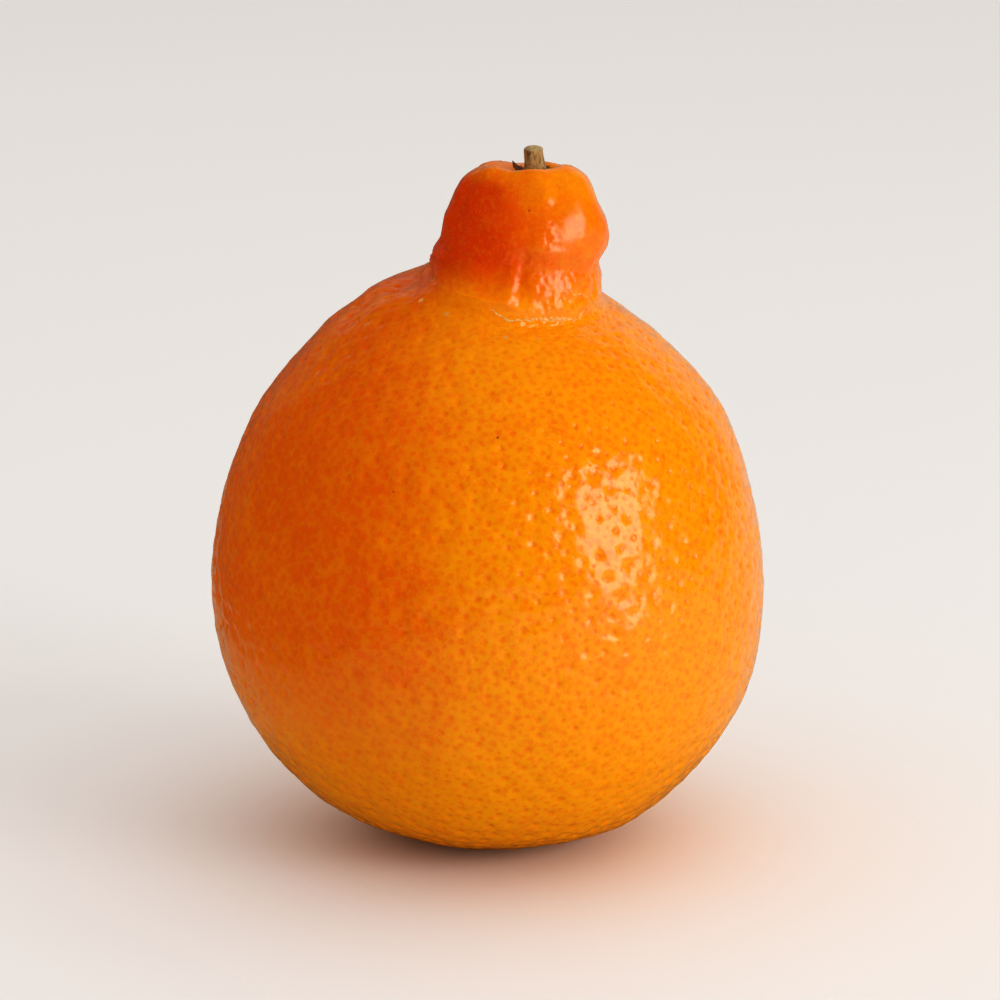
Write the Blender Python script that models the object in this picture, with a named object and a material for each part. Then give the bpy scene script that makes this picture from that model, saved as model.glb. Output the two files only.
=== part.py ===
"""A tangelo: a round citrus fruit with a knobbly neck, standing on a small flat spot.

The peel is one closed skin. Its side outline is a smooth curve from the flat spot up to
the bottom of the stem pit. The curve is turned round an upright axis, and each slice
slides and tips a little on the way, so that the neck grows off-centre from the dome.
Lumps, folds and grooves are raised or pressed in along the outline's normal by formulas,
and a pit is pressed into the middle of each cell of the peel's mesh. The calyx is a
dried star in the pit, and the stem is the cut woody stub that stands on it.
"""

import math

import bpy
import numpy as np
from mathutils import Vector
from mathutils.geometry import delaunay_2d_cdt

# Shape sizes are in millimetres, and the meshes are made in metres
MM = 0.001
TURN = 2.0 * math.pi
GOLDEN_ANGLE = math.pi * (3.0 - math.sqrt(5.0))

# The side outline, by hand from the flat spot to the bottom of the stem pit: radius,
# height over the widest ring, slide to the right, slide to the back, and the degrees
# by which the slice tips down at the right and at the front
FLAT_RADIUS = 6.0
FLAT_HEIGHT = -36.3
OUTLINE = (
    (FLAT_RADIUS, FLAT_HEIGHT, 0.4, 0.0, 0.0, 0.0),
    (10.5, -35.7, 0.7, 0.0, 0.0, 0.0),
    (16.6, -34.0, 0.7, 0.0, 0.3, 0.0),
    (23.9, -30.5, 0.3, 0.0, 0.8, 0.0),
    (30.0, -25.2, 0.1, 0.0, 1.2, 0.0),
    (35.4, -17.7, 0.0, 0.0, 1.6, 0.0),
    (38.9, -8.6, 0.0, 0.0, 2.0, 0.0),
    (39.9, 0.6, 0.1, 0.0, 2.0, 0.0),
    (39.0, 10.0, 0.2, 0.0, 1.6, 0.0),
    (36.7, 19.2, 0.3, 0.0, 1.0, 0.0),
    (33.0, 27.8, 0.4, 0.0, 0.6, 0.0),
    (26.9, 35.1, 0.5, 0.0, 0.8, 0.3),
    (20.9, 40.2, 0.9, -0.3, 1.8, 1.0),
    (16.5, 43.3, 1.6, -1.7, 5.0, 4.5),
    (14.0, 44.7, 2.7, -3.1, 8.0, 7.5),
    (12.4, 46.2, 3.6, -3.8, 8.6, 8.5),
    (11.8, 48.2, 4.0, -4.0, 7.0, 6.0),
    (11.5, 50.2, 4.4, -4.0, 5.0, 3.0),
    (11.6, 52.4, 5.1, -4.0, 2.0, 0.5),
    (11.0, 55.2, 5.3, -4.0, 1.0, 0.0),
    (9.8, 57.8, 5.3, -4.0, 1.0, 0.0),
    (8.8, 59.8, 5.3, -4.0, 1.0, 0.0),
    (7.7, 61.1, 5.3, -4.0, 1.0, 0.0),
    (6.1, 62.1, 5.4, -4.0, 1.0, 0.0),
    (4.4, 62.0, 5.8, -4.0, 1.0, 0.0),
    (3.1, 61.2, 6.4, -4.0, 1.0, 0.0),
    (1.8, 60.6, 6.7, -4.0, 1.0, 0.0),
    (0.0, 60.4, 6.7, -4.0, 1.0, 0.0),
)
RADIUS, HEIGHT, SLIDE_X, SLIDE_Y, TIP_X, TIP_Y = range(6)
OUTLINE_STEPS = 4000
SMALLEST_RADIUS = 0.05

# Broad waves of the peel: how far they rise, their length, and a seed for their ways
BODY_WAVES = ((0.09, 17.0, 3), (0.045, 8.5, 5))
NECK_WAVES = ((0.17, 8.0, 8), (0.07, 4.0, 9))
WAVES_EACH = 12
WAVES_EVEN = 3.5

# The belly is a little oval, and pleats fan out over the shoulder
OVAL_LIFT = 0.28
PLEAT_LIFT = 0.16
PLEAT_HEIGHT = 42.6
PLEAT_HALF_HEIGHT = 2.4

# The neck: where it starts, its five lobes, its waist, and the fold under the waist.
# The waist and the fold are deepest at the right
NECK_START, NECK_FULL = 43.5, 47.5
NECK_LOBES = 5
NECK_LOBE_LIFT = 0.16
WAIST_HEIGHT, WAIST_DEPTH = 50.4, 0.27
FOLD_HEIGHT, FOLD_LIFT = 48.4, 0.12
WAIST_HALF_HEIGHT = 0.9

# The smooth knob at the right of the neck's top, where the small lumps fade out
KNOB_AZIMUTH, KNOB_HALF_ANGLE = 310.0, 21.0
KNOB_HEIGHT, KNOB_HALF_HEIGHT = 56.4, 4.8

# The crease where the neck leaves the dome, deeper at the front
FOOT_HEIGHT = 45.3
CREASE_HALF_HEIGHT = 0.42
CREASE_DEPTH, CREASE_FRONT_DEPTH = 0.10, 0.22
CREASE_AZIMUTH, CREASE_HALF_ANGLE = 282.0, 27.0

# Grooves along the neck: azimuth in degrees, lower and upper height, half width, depth
NECK_GROOVES = (
    (272.0, 46.8, 52.6, 0.55, 0.30),
    (236.0, 58.0, 62.6, 0.50, 0.12),
    (251.0, 60.0, 62.6, 0.40, 0.14),
    (212.0, 56.0, 61.8, 0.90, 0.30),
    (334.0, 46.5, 51.5, 0.80, 0.22),
    (20.0, 53.5, 61.0, 0.90, 0.30),
    (75.0, 47.5, 60.0, 1.00, 0.40),
    (128.0, 50.5, 61.5, 0.80, 0.32),
    (165.0, 46.8, 52.0, 0.80, 0.30),
)
GROOVE_END = 1.5

# Single swellings and hollows: azimuth and half its width, height and half its, lift
SWELLINGS = (
    (337.0, 50.0, -31.0, 3.0, 0.35),
    (180.0, 38.0, 38.9, 2.0, 0.50),
    (180.0, 38.0, 42.7, 1.7, 0.40),
    (180.0, 30.0, 44.9, 0.9, -1.00),
    (180.0, 30.0, 46.3, 0.6, -1.10),
    (190.0, 25.0, 49.6, 0.8, 0.55),
    (190.0, 40.0, 56.5, 2.6, 0.30),
    (196.0, 26.0, 59.3, 2.4, 0.45),
    (345.0, 26.0, 60.8, 1.8, 0.45),
    (241.0, 30.0, 45.9, 2.0, 1.90),
    (232.0, 24.0, 51.5, 4.0, 0.70),
    (312.0, 30.0, 46.2, 1.1, 0.50),
    (328.0, 22.0, 57.0, 6.5, 0.95),
    (312.0, 28.0, 58.8, 4.6, 0.70),
    (226.0, 24.0, 62.0, 1.2, 0.85),
    (268.0, 30.0, 62.2, 1.1, 0.40),
    (240.0, 12.0, 60.9, 0.4, 0.20),
)

# The scar of the flower, just outside the flat spot, with a low rim round it
SCAR_AZIMUTH = 186.0
SCAR_RADIUS = 10.0
SCAR_WIDTH = 1.3
SCAR_DEPTH = 0.45
SCAR_RIM_RADIUS, SCAR_RIM_WIDTH, SCAR_RIM_LIFT = 2.1, 0.6, 0.10
FAR_AWAY = 60.0

# The relief fades out over these distances, at the flat spot and at the stem pit
CALM_BASE = 2.5
PIT_CALM, PIT_LUMPY = 3.4, 6.5

# Distances between neighbouring pits of the peel, and their depth for that distance
BODY_PITCH = 4.0
NECK_PITCH = 2.4
RIM_PITCH = 1.4
BASE_PITCH = 2.3
PIT_DEPTH = 0.055
PIT_DEPTH_RANGE = (0.7, 1.3)
PIT_SHARE = 0.42
FAINT_SHARE = 0.1
NECK_SHALLOWER = 0.55
FLAT_SIDES = 24
PEEL_SEED = 11

# A honeycomb cell's area over its pitch squared, and when two flat points are one
HONEYCOMB = 0.866
SAME_POINT = 1e-7

# The calyx: thickness, gap under it, button radius, and each lobe's azimuth in degrees,
# reach past the button and rise at its tip
CALYX_THICKNESS = 0.6
CALYX_TIP_THICKNESS = 0.28
CALYX_GAP = 0.32
BUTTON_RADIUS = 2.0
LOBES = (
    (154.0, 1.55, 1.0),
    (250.0, 0.90, 0.2),
    (333.0, 1.00, 0.9),
    (49.0, 1.10, 0.7),
    (101.0, 0.95, 1.0),
)
LOBE_SPREAD = 38.0
LOBE_POINT = 1.2
LOBE_START = 0.75
LOBE_CURL = 1.5
CALYX_RIPPLE = 0.05
CALYX_SIDES = 60
CALYX_RINGS = 8

# The part of the stem pit that the calyx follows
PIT_READ_LENGTH = 4.5
PIT_READ_RADII = np.linspace(0.0, 5.0, 200)

# The stem: radius, flare at the foot, height, lean to the left in degrees, and ribs, each
# with its lift, how many go round and how far they turn on the way up
STEM_RADIUS = 1.24
STEM_FLARE = 0.4
STEM_HEIGHT = 2.9
STEM_LEAN = 5.0
STEM_GAP = 0.32
STEM_CUT_SLOPE = 0.16
STEM_CUT_AZIMUTH = 1.9
STEM_CUT_FLARE = 0.06
STEM_CUT_BULGE = 0.05
STEM_RIBS = ((0.05, 5.0, 1.5), (0.03, 11.0, -2.0))
STEM_SIDES = 36
STEM_RINGS = 14


def smooth_step(value, low, high):
    """Return 0 below low, 1 above high and an even S-curve between them."""
    part = np.clip((value - low) / (high - low), 0.0, 1.0)
    return part * part * (3.0 - 2.0 * part)


def bell(value, centre, width):
    """Return a bell curve of height 1 round the centre."""
    return np.exp(-(((value - centre) / width) ** 2))


def clear_scene():
    """Remove every object that the file starts with."""
    for thing in list(bpy.data.objects):
        bpy.data.objects.remove(thing, do_unlink=True)


def smooth_curve(points, steps):
    """Pass a smooth curve through the points, each with a slope taken from its neighbours.

    The knots are spaced by the square root of the distance between points, which keeps
    the curve from looping where two points are close. Each stretch is a cubic.
    """
    points = np.array(points, dtype=float)
    hops = np.diff(points, axis=0)
    gaps = np.sqrt(np.hypot(hops[:, RADIUS], hops[:, HEIGHT]))[:, None]
    knots = np.concatenate([[0.0], np.cumsum(gaps)])
    rates = hops / gaps
    slopes = np.vstack([rates[:1], np.zeros_like(points[1:-1]), rates[-1:]])
    slopes[1:-1] = (rates[:-1] * gaps[1:] + rates[1:] * gaps[:-1]) / (gaps[:-1] + gaps[1:])
    slopes[-1, HEIGHT] = 0.0
    places = np.linspace(0.0, knots[-1], steps)
    first = np.clip(np.searchsorted(knots, places, "right") - 1, 0, len(gaps) - 1)
    gap = gaps[first]
    part = (places - knots[first])[:, None] / gap
    ease = part * part * (3.0 - 2.0 * part)
    leave = part * (1.0 - part) ** 2 * gap * slopes[first]
    arrive = part * part * (part - 1.0) * gap * slopes[first + 1]
    return points[first] * (1.0 - ease) + points[first + 1] * ease + leave + arrive


class Outline:
    """The side outline, read by the distance along it from the edge of the flat spot."""

    def __init__(self):
        self.rows = smooth_curve(OUTLINE, OUTLINE_STEPS)
        self.rows[:, RADIUS] = np.maximum(self.rows[:, RADIUS], 0.0)
        self.rows[-1, RADIUS] = 0.0
        steps = np.hypot(np.diff(self.rows[:, RADIUS]), np.diff(self.rows[:, HEIGHT]))
        self.along = np.concatenate([[0.0], np.cumsum(steps)])
        self.length = self.along[-1]
        self.normal_out = np.gradient(self.rows[:, HEIGHT], self.along)
        self.normal_up = -np.gradient(self.rows[:, RADIUS], self.along)

    def read(self, along, column):
        """Return one column of the outline at the given distances."""
        return np.interp(along, self.along, self.rows[:, column])

    def pit_height(self, radius):
        """Return the height of the stem pit over its middle, at a radius inside its rim."""
        pit = self.along > self.length - PIT_READ_LENGTH
        rows = self.rows[pit][::-1]
        return np.interp(radius, rows[:, RADIUS], rows[:, HEIGHT]) - self.rows[-1, HEIGHT]


def place(outline, along, azimuth, lift):
    """Return points on the turned outline, raised by lift along its normal."""
    out = np.interp(along, outline.along, outline.normal_out)
    up = np.interp(along, outline.along, outline.normal_up)
    radius = outline.read(along, RADIUS) + lift * out
    height = outline.read(along, HEIGHT) + lift * up
    across = radius * np.cos(azimuth)
    back = radius * np.sin(azimuth)
    fall_right = np.tan(np.radians(outline.read(along, TIP_X))) * across
    fall_front = np.tan(np.radians(outline.read(along, TIP_Y))) * back
    x = outline.read(along, SLIDE_X) + across
    y = outline.read(along, SLIDE_Y) + back
    return np.stack([x, y, height - fall_right + fall_front - FLAT_HEIGHT], axis=-1)


def waves(points, length, seed):
    """Add sine waves in random directions: a smooth lumpy pattern of about -1 to 1."""
    draw = np.random.default_rng(seed)
    directions = draw.normal(size=(WAVES_EACH, 3))
    directions /= np.linalg.norm(directions, axis=1)[:, None]
    lengths = length * draw.uniform(0.8, 1.3, size=WAVES_EACH)
    phases = draw.uniform(0.0, TURN, size=WAVES_EACH)
    return np.sin(points @ (TURN * directions / lengths[:, None]).T + phases).sum(axis=1) / WAVES_EVEN


def turned_from(angle, azimuth):
    """Return how far each azimuth is turned from an angle in degrees, as radians."""
    turn = np.radians(angle) - azimuth
    return np.arctan2(np.sin(turn), np.cos(turn))


def body_lumps(spot, azimuth, height, radius):
    """Return the body's broad waves, its oval belly and the pleats under the neck."""
    lift = sum(rise * waves(spot, length, seed) for rise, length, seed in BODY_WAVES)
    lift = lift + OVAL_LIFT * np.sin(2.0 * azimuth) * smooth_step(radius, 20.0, 40.0)
    pleats = np.cos(11.0 * azimuth + 0.8) * np.cos(3.0 * azimuth - 0.5)
    return lift + PLEAT_LIFT * pleats * bell(height, PLEAT_HEIGHT, PLEAT_HALF_HEIGHT)


def neck_lumps(spot, azimuth, height, radius):
    """Return the neck's waves, lobes, waist, fold and grooves."""
    right = np.cos(azimuth)
    lift = sum(rise * waves(spot, length, seed) for rise, length, seed in NECK_WAVES)
    lobes = np.cos(NECK_LOBES * azimuth + 0.9) * smooth_step(height, 50.0, 54.0)
    lift = lift + NECK_LOBE_LIFT * lobes
    across_knob = bell(np.degrees(turned_from(KNOB_AZIMUTH, azimuth)), 0.0, KNOB_HALF_ANGLE)
    on_knob = smooth_step(across_knob * bell(height, KNOB_HEIGHT, KNOB_HALF_HEIGHT), 0.10, 0.60)
    lift = lift * (1.0 - on_knob)
    lift -= WAIST_DEPTH * (0.45 + 0.55 * right) * bell(height, WAIST_HEIGHT, WAIST_HALF_HEIGHT)
    lift += FOLD_LIFT * (0.4 + 0.6 * right) * bell(height, FOLD_HEIGHT, WAIST_HALF_HEIGHT)
    for angle, low, high, half_width, depth in NECK_GROOVES:
        sideways = radius * turned_from(angle, azimuth)
        length_part = smooth_step(height, low, low + GROOVE_END)
        length_part = length_part * (1.0 - smooth_step(height, high - GROOVE_END, high))
        lift -= depth * bell(sideways, 0.0, half_width) * length_part
    return lift


def swellings(azimuth, height):
    """Return the sum of the single swellings, each a bell round the fruit and up it."""
    lift = 0.0 * height
    for angle, half_angle, centre, half_height, amount in SWELLINGS:
        off = np.degrees(turned_from(angle, azimuth))
        lift += amount * bell(off, 0.0, half_angle) * bell(height, centre, half_height)
    return lift


def scar_lift(spot, height):
    """Return the pit of the flower's scar and the low rim round it, near the flat spot."""
    turn = math.radians(SCAR_AZIMUTH)
    from_scar = np.hypot(spot[:, 0] - SCAR_RADIUS * math.cos(turn), spot[:, 1] - SCAR_RADIUS * math.sin(turn))
    from_scar = from_scar + FAR_AWAY * (height > 0.0)
    rim = SCAR_RIM_LIFT * bell(from_scar, SCAR_RIM_RADIUS, SCAR_RIM_WIDTH)
    return rim - SCAR_DEPTH * bell(from_scar, 0.0, SCAR_WIDTH)


def relief(outline, along, azimuth):
    """Return how far the peel stands out from the plain turned outline, in millimetres."""
    height = outline.read(along, HEIGHT)
    radius = outline.read(along, RADIUS)
    spot = place(outline, along, azimuth, 0.0)
    neck = smooth_step(height, NECK_START, NECK_FULL)
    at_front = bell(np.degrees(turned_from(CREASE_AZIMUTH, azimuth)), 0.0, CREASE_HALF_ANGLE)
    crease_depth = CREASE_DEPTH + CREASE_FRONT_DEPTH * at_front
    lift = body_lumps(spot, azimuth, height, radius) * (1.0 - neck)
    lift += neck_lumps(spot, azimuth, height, radius) * neck
    lift += swellings(azimuth, height) - crease_depth * bell(height, FOOT_HEIGHT, CREASE_HALF_HEIGHT)
    lift += scar_lift(spot, height)
    lift *= smooth_step(along, 0.0, CALM_BASE)
    return lift * smooth_step(outline.length - along, PIT_CALM, PIT_LUMPY)


def pitch_along(outline):
    """Return the wanted distance between pits at each step of the outline."""
    height = outline.rows[:, HEIGHT]
    from_pole = outline.length - outline.along
    pitch = BODY_PITCH + (NECK_PITCH - BODY_PITCH) * smooth_step(height, 38.0, 44.0)
    pitch += (RIM_PITCH - NECK_PITCH) * (1.0 - smooth_step(from_pole, 5.0, 9.0))
    return pitch + (BASE_PITCH - BODY_PITCH) * (1.0 - smooth_step(outline.along, 6.0, 12.0))


def spiral_seeds(outline):
    """Spread the pits on one long spiral, each a golden angle on from the last.

    Their number up to any height grows with the area below it divided by the area of
    a cell of a honeycomb with the wanted pitch.
    """
    density = TURN * outline.rows[:, RADIUS] / (HONEYCOMB * pitch_along(outline) ** 2)
    steps = np.diff(outline.along)
    count = np.concatenate([[0.0], np.cumsum(0.5 * (density[1:] + density[:-1]) * steps)])
    number = np.arange(FLAT_SIDES // 2, int(count[-1]))
    return np.interp(number + 0.5, count, outline.along), number * GOLDEN_ANGLE


def stretch_along(outline):
    """Return the logarithm of the radius that unrolls the peel flat without shearing it."""
    radius = np.maximum(outline.rows[:, RADIUS], SMALLEST_RADIUS)
    rate = 1.0 / radius
    steps = np.diff(outline.along)
    return np.concatenate([[0.0], np.cumsum(0.5 * (rate[1:] + rate[:-1]) * steps)])


def peel_mesh(outline):
    """Return the vertices and faces of the peel, with one pressed-in pit in every cell.

    The seeds are joined into triangles in the unrolled plane. Each triangle's middle
    becomes a corner of three cells, so every cell is a fan round its own seed.
    """
    along, azimuth = spiral_seeds(outline)
    edge_azimuth = np.arange(FLAT_SIDES) * TURN / FLAT_SIDES
    along = np.concatenate([np.zeros(FLAT_SIDES), along])
    azimuth = np.concatenate([edge_azimuth, azimuth])
    stretch = stretch_along(outline)
    plane_radius = np.exp(np.interp(along, outline.along, stretch))
    plane = [Vector((r * math.cos(a), r * math.sin(a))) for r, a in zip(plane_radius, azimuth)]
    triangles = np.array(delaunay_2d_cdt(plane, [], [], 0, SAME_POINT, False)[2])
    triangles = triangles[(triangles >= FLAT_SIDES).any(axis=1)]

    middle_log = np.log(plane_radius[triangles]).mean(axis=1)
    middle_along = np.interp(middle_log, stretch, outline.along)
    turned = azimuth[triangles]
    middle_azimuth = np.arctan2(np.sin(turned).sum(axis=1), np.cos(turned).sum(axis=1))

    draw = np.random.default_rng(PEEL_SEED)
    pitch = np.interp(along, outline.along, pitch_along(outline))
    neck = smooth_step(outline.read(along, HEIGHT), 42.0, 47.0)
    depth = PIT_DEPTH * pitch * (1.0 - NECK_SHALLOWER * neck)
    depth *= draw.uniform(*PIT_DEPTH_RANGE, size=len(along))
    depth *= np.where(draw.random(len(along)) < PIT_SHARE, 1.0, FAINT_SHARE)
    depth *= smooth_step(along, 0.5, 3.0) * smooth_step(outline.length - along, 5.0, 8.0)
    seeds = place(outline, along, azimuth, relief(outline, along, azimuth) - depth)
    middles = place(outline, middle_along, middle_azimuth, relief(outline, middle_along, middle_azimuth))
    flat_centre = [outline.rows[0, SLIDE_X], outline.rows[0, SLIDE_Y], 0.0]
    pole = place(outline, np.array([outline.length]), np.zeros(1), 0.0)
    vertices = np.vstack([seeds, middles, flat_centre, pole])
    centre_index = len(seeds) + len(middles)
    pole_index = centre_index + 1

    beside = {}
    for index, (a, b, c) in enumerate(triangles):
        for edge in ((a, b), (b, c), (c, a)):
            beside[edge] = len(seeds) + index
    faces = []
    for (a, b), middle in beside.items():
        opposite = beside.get((b, a))
        if opposite is not None:
            faces.append((a, middle, opposite))
            continue
        faces.append((b, a, middle))
        on_flat = max(a, b) < FLAT_SIDES
        faces.append((a, b, centre_index if on_flat else pole_index))
    return vertices, faces


def calyx_mesh(outline):
    """Return a star-shaped dried button that follows the pit at a small gap."""
    azimuth = np.arange(CALYX_SIDES) * TURN / CALYX_SIDES
    reach = np.zeros(CALYX_SIDES)
    rise = np.zeros(CALYX_SIDES)
    for angle, lobe_reach, lobe_rise in LOBES:
        turn = np.radians(angle) - azimuth
        off = np.abs(np.degrees(np.arctan2(np.sin(turn), np.cos(turn)))) / LOBE_SPREAD
        shape = np.clip(1.0 - off, 0.0, 1.0)
        reach += lobe_reach * shape ** LOBE_POINT
        rise += lobe_rise * shape
    part = np.linspace(0.0, 1.0, CALYX_RINGS + 1)[1:, None]
    radius = part * (BUTTON_RADIUS + reach)
    slope = np.gradient(outline.pit_height(PIT_READ_RADII), PIT_READ_RADII)
    steep = np.hypot(1.0, np.interp(radius, PIT_READ_RADII, slope))
    lobe_start = LOBE_START * BUTTON_RADIUS
    outer = np.clip((radius - lobe_start) / (BUTTON_RADIUS + reach - lobe_start), 0.0, 1.0)
    bottom = outline.pit_height(radius) + CALYX_GAP * steep + rise * outer ** LOBE_CURL
    thin = smooth_step(part, 0.45, 1.0)
    thickness = CALYX_THICKNESS + (CALYX_TIP_THICKNESS - CALYX_THICKNESS) * thin
    ripple = CALYX_RIPPLE * np.cos(3.0 * azimuth + 7.0 * part) * smooth_step(part, 0.5, 0.9)
    top = bottom + thickness + ripple
    across = radius * np.cos(azimuth)
    back = radius * np.sin(azimuth)
    upper = np.stack([across, back, top], axis=-1).reshape(-1, 3)
    lower = np.stack([across, back, bottom + 0.0 * across], axis=-1).reshape(-1, 3)
    poles = [(0.0, 0.0, CALYX_GAP + CALYX_THICKNESS), (0.0, 0.0, CALYX_GAP)]
    return np.vstack([upper, lower, poles]), disc_faces(CALYX_SIDES, CALYX_RINGS)


def disc_faces(sides, rings):
    """Return the faces of two facing discs of rings, joined at the outer ring."""
    faces = []
    count = sides * rings
    top_pole = 2 * count
    bottom_pole = top_pole + 1
    last = (rings - 1) * sides
    for side in range(sides):
        after = (side + 1) % sides
        faces.append((top_pole, side, after))
        faces.append((bottom_pole, count + after, count + side))
        for ring in range(rings - 1):
            inner = ring * sides
            outer = inner + sides
            faces.append((inner + side, outer + side, outer + after, inner + after))
            below = (inner + after, outer + after, outer + side, inner + side)
            faces.append(tuple(count + index for index in below))
        faces.append((last + side, count + last + side, count + last + after, last + after))
    return faces


def stem_mesh():
    """Return an upright woody stub with a flared foot, rough sides and a slanting cut."""
    azimuth = np.arange(STEM_SIDES) * TURN / STEM_SIDES
    part = np.linspace(0.0, 1.0, STEM_RINGS)[:, None]
    radius = STEM_RADIUS + STEM_FLARE * (1.0 - part) ** 3 + STEM_CUT_FLARE * smooth_step(part, 0.7, 1.0)
    for lift, count, twist in STEM_RIBS:
        radius = radius + lift * np.cos(count * azimuth + twist * part)
    height = part * (STEM_HEIGHT + STEM_CUT_SLOPE * radius * np.cos(azimuth - STEM_CUT_AZIMUTH))
    sides = np.stack([radius * np.cos(azimuth), radius * np.sin(azimuth), height], axis=-1).reshape(-1, 3)
    vertices = np.vstack([sides, (0.0, 0.0, 0.0), (0.0, 0.0, STEM_HEIGHT + STEM_CUT_BULGE)])
    foot_pole = STEM_SIDES * STEM_RINGS
    top_pole = foot_pole + 1
    last = foot_pole - STEM_SIDES
    faces = []
    for side in range(STEM_SIDES):
        after = (side + 1) % STEM_SIDES
        faces.append((foot_pole, after, side))
        faces.append((top_pole, last + side, last + after))
        for ring in range(STEM_RINGS - 1):
            low = ring * STEM_SIDES
            faces.append((low + side, low + after, low + STEM_SIDES + after, low + STEM_SIDES + side))
    return vertices, faces


def make_material(name, colour, roughness):
    """Return a Principled material of one plain colour, given as linear red, green, blue."""
    material = bpy.data.materials.new(name)
    material.use_nodes = True
    shader = material.node_tree.nodes["Principled BSDF"]
    shader.inputs["Base Color"].default_value = (*colour, 1.0)
    shader.inputs["Roughness"].default_value = roughness
    shader.inputs["Metallic"].default_value = 0.0
    material.diffuse_color = (*colour, 1.0)
    return material


def make_object(name, vertices, faces, material, parent=None):
    """Return a smooth-shaded object made from vertices in millimetres."""
    mesh = bpy.data.meshes.new(name)
    sides = [tuple(int(index) for index in face) for face in faces]
    mesh.from_pydata((np.asarray(vertices) * MM).tolist(), [], sides)
    mesh.validate()
    mesh.materials.append(material)
    mesh.shade_smooth()
    thing = bpy.data.objects.new(name, mesh)
    thing.parent = parent
    bpy.context.scene.collection.objects.link(thing)
    return thing


def build():
    """Make the fruit, its calyx and its stem, standing centred over the origin."""
    clear_scene()
    outline = Outline()
    vertices, faces = peel_mesh(outline)
    middle = 0.5 * (vertices.min(axis=0) + vertices.max(axis=0))
    vertices = vertices - (middle[0], middle[1], 0.0)
    peel = make_material("peel", (0.86, 0.19, 0.006), 0.35)
    make_object("fruit", vertices, faces, peel)

    pit = outline.rows[-1]
    pit_centre = np.array([pit[SLIDE_X] - middle[0], pit[SLIDE_Y] - middle[1], pit[HEIGHT] - FLAT_HEIGHT])
    calyx_colour = make_material("calyx_bark", (0.13, 0.045, 0.012), 0.75)
    calyx = make_object("calyx", *calyx_mesh(outline), calyx_colour)
    calyx.location = Vector(pit_centre * MM)
    calyx.rotation_euler = (0.0, math.radians(pit[TIP_X]), 0.0)

    stem_colour = make_material("stem_bark", (0.34, 0.19, 0.065), 0.8)
    stem = make_object("stem", *stem_mesh(), stem_colour)
    foot_radius = STEM_RADIUS + STEM_FLARE
    foot_lift = CALYX_GAP + CALYX_THICKNESS + STEM_GAP + outline.pit_height(foot_radius)
    foot_lift += foot_radius * math.tan(math.radians(STEM_LEAN + pit[TIP_X]))
    stem.location = Vector((pit_centre + (0.0, 0.0, foot_lift)) * MM)
    stem.rotation_euler = (0.0, math.radians(-STEM_LEAN), 0.0)


build()
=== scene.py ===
# %% [markdown]
# # A tangelo with its peel, button and stem
#
# This lesson dresses a plain solid model of a tangelo. The real fruit is a round
# citrus with a knobbly neck. Three things give it away from a step back: the bell
# outline, the pores of the waxy peel, and the small dry stub in its dark button.
# The solid model is the frame, so every size here starts from it, and each new
# piece takes the place of the solid that it stands for.

# %% Load the frame
import math

import bpy
import numpy as np
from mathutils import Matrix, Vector
from mathutils.geometry import delaunay_2d_cdt


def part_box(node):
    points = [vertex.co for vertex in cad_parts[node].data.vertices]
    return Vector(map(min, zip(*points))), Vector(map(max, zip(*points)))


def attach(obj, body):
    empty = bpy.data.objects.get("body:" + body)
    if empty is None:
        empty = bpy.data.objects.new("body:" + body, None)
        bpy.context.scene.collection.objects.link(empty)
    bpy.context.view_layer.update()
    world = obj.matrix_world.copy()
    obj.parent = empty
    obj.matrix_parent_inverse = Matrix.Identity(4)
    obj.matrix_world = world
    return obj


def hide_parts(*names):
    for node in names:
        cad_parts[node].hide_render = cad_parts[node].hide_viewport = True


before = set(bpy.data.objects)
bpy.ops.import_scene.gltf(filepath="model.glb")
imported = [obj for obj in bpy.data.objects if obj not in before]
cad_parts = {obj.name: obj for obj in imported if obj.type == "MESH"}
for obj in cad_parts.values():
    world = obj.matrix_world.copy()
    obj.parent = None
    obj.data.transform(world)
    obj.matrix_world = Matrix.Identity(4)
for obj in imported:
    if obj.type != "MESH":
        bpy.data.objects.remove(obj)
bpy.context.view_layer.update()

MM = 0.001
TURN = 2.0 * math.pi
GOLDEN_ANGLE = math.pi * (3.0 - math.sqrt(5.0))

# %% Measure the solid fruit
fruit_low, fruit_high = (np.array(corner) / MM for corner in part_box("fruit"))
print("the fruit is", (fruit_high - fruit_low).round(1), "mm")

# %% [markdown]
# ## The outline
#
# A fruit that hangs from its stem grows nearly round, so its side view can be turned
# round an axis like a vase. A tangelo isn't a perfect vase: its neck grows off-centre
# from the dome. So every point of the outline holds more than a radius and a height.
# It also says how far its slice has slid to the right and to the back, and how far
# it tips. One smooth curve through all six numbers bends the axis and the rings
# together. A lathe tool could turn the plain vase, but not lean its slices.

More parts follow.
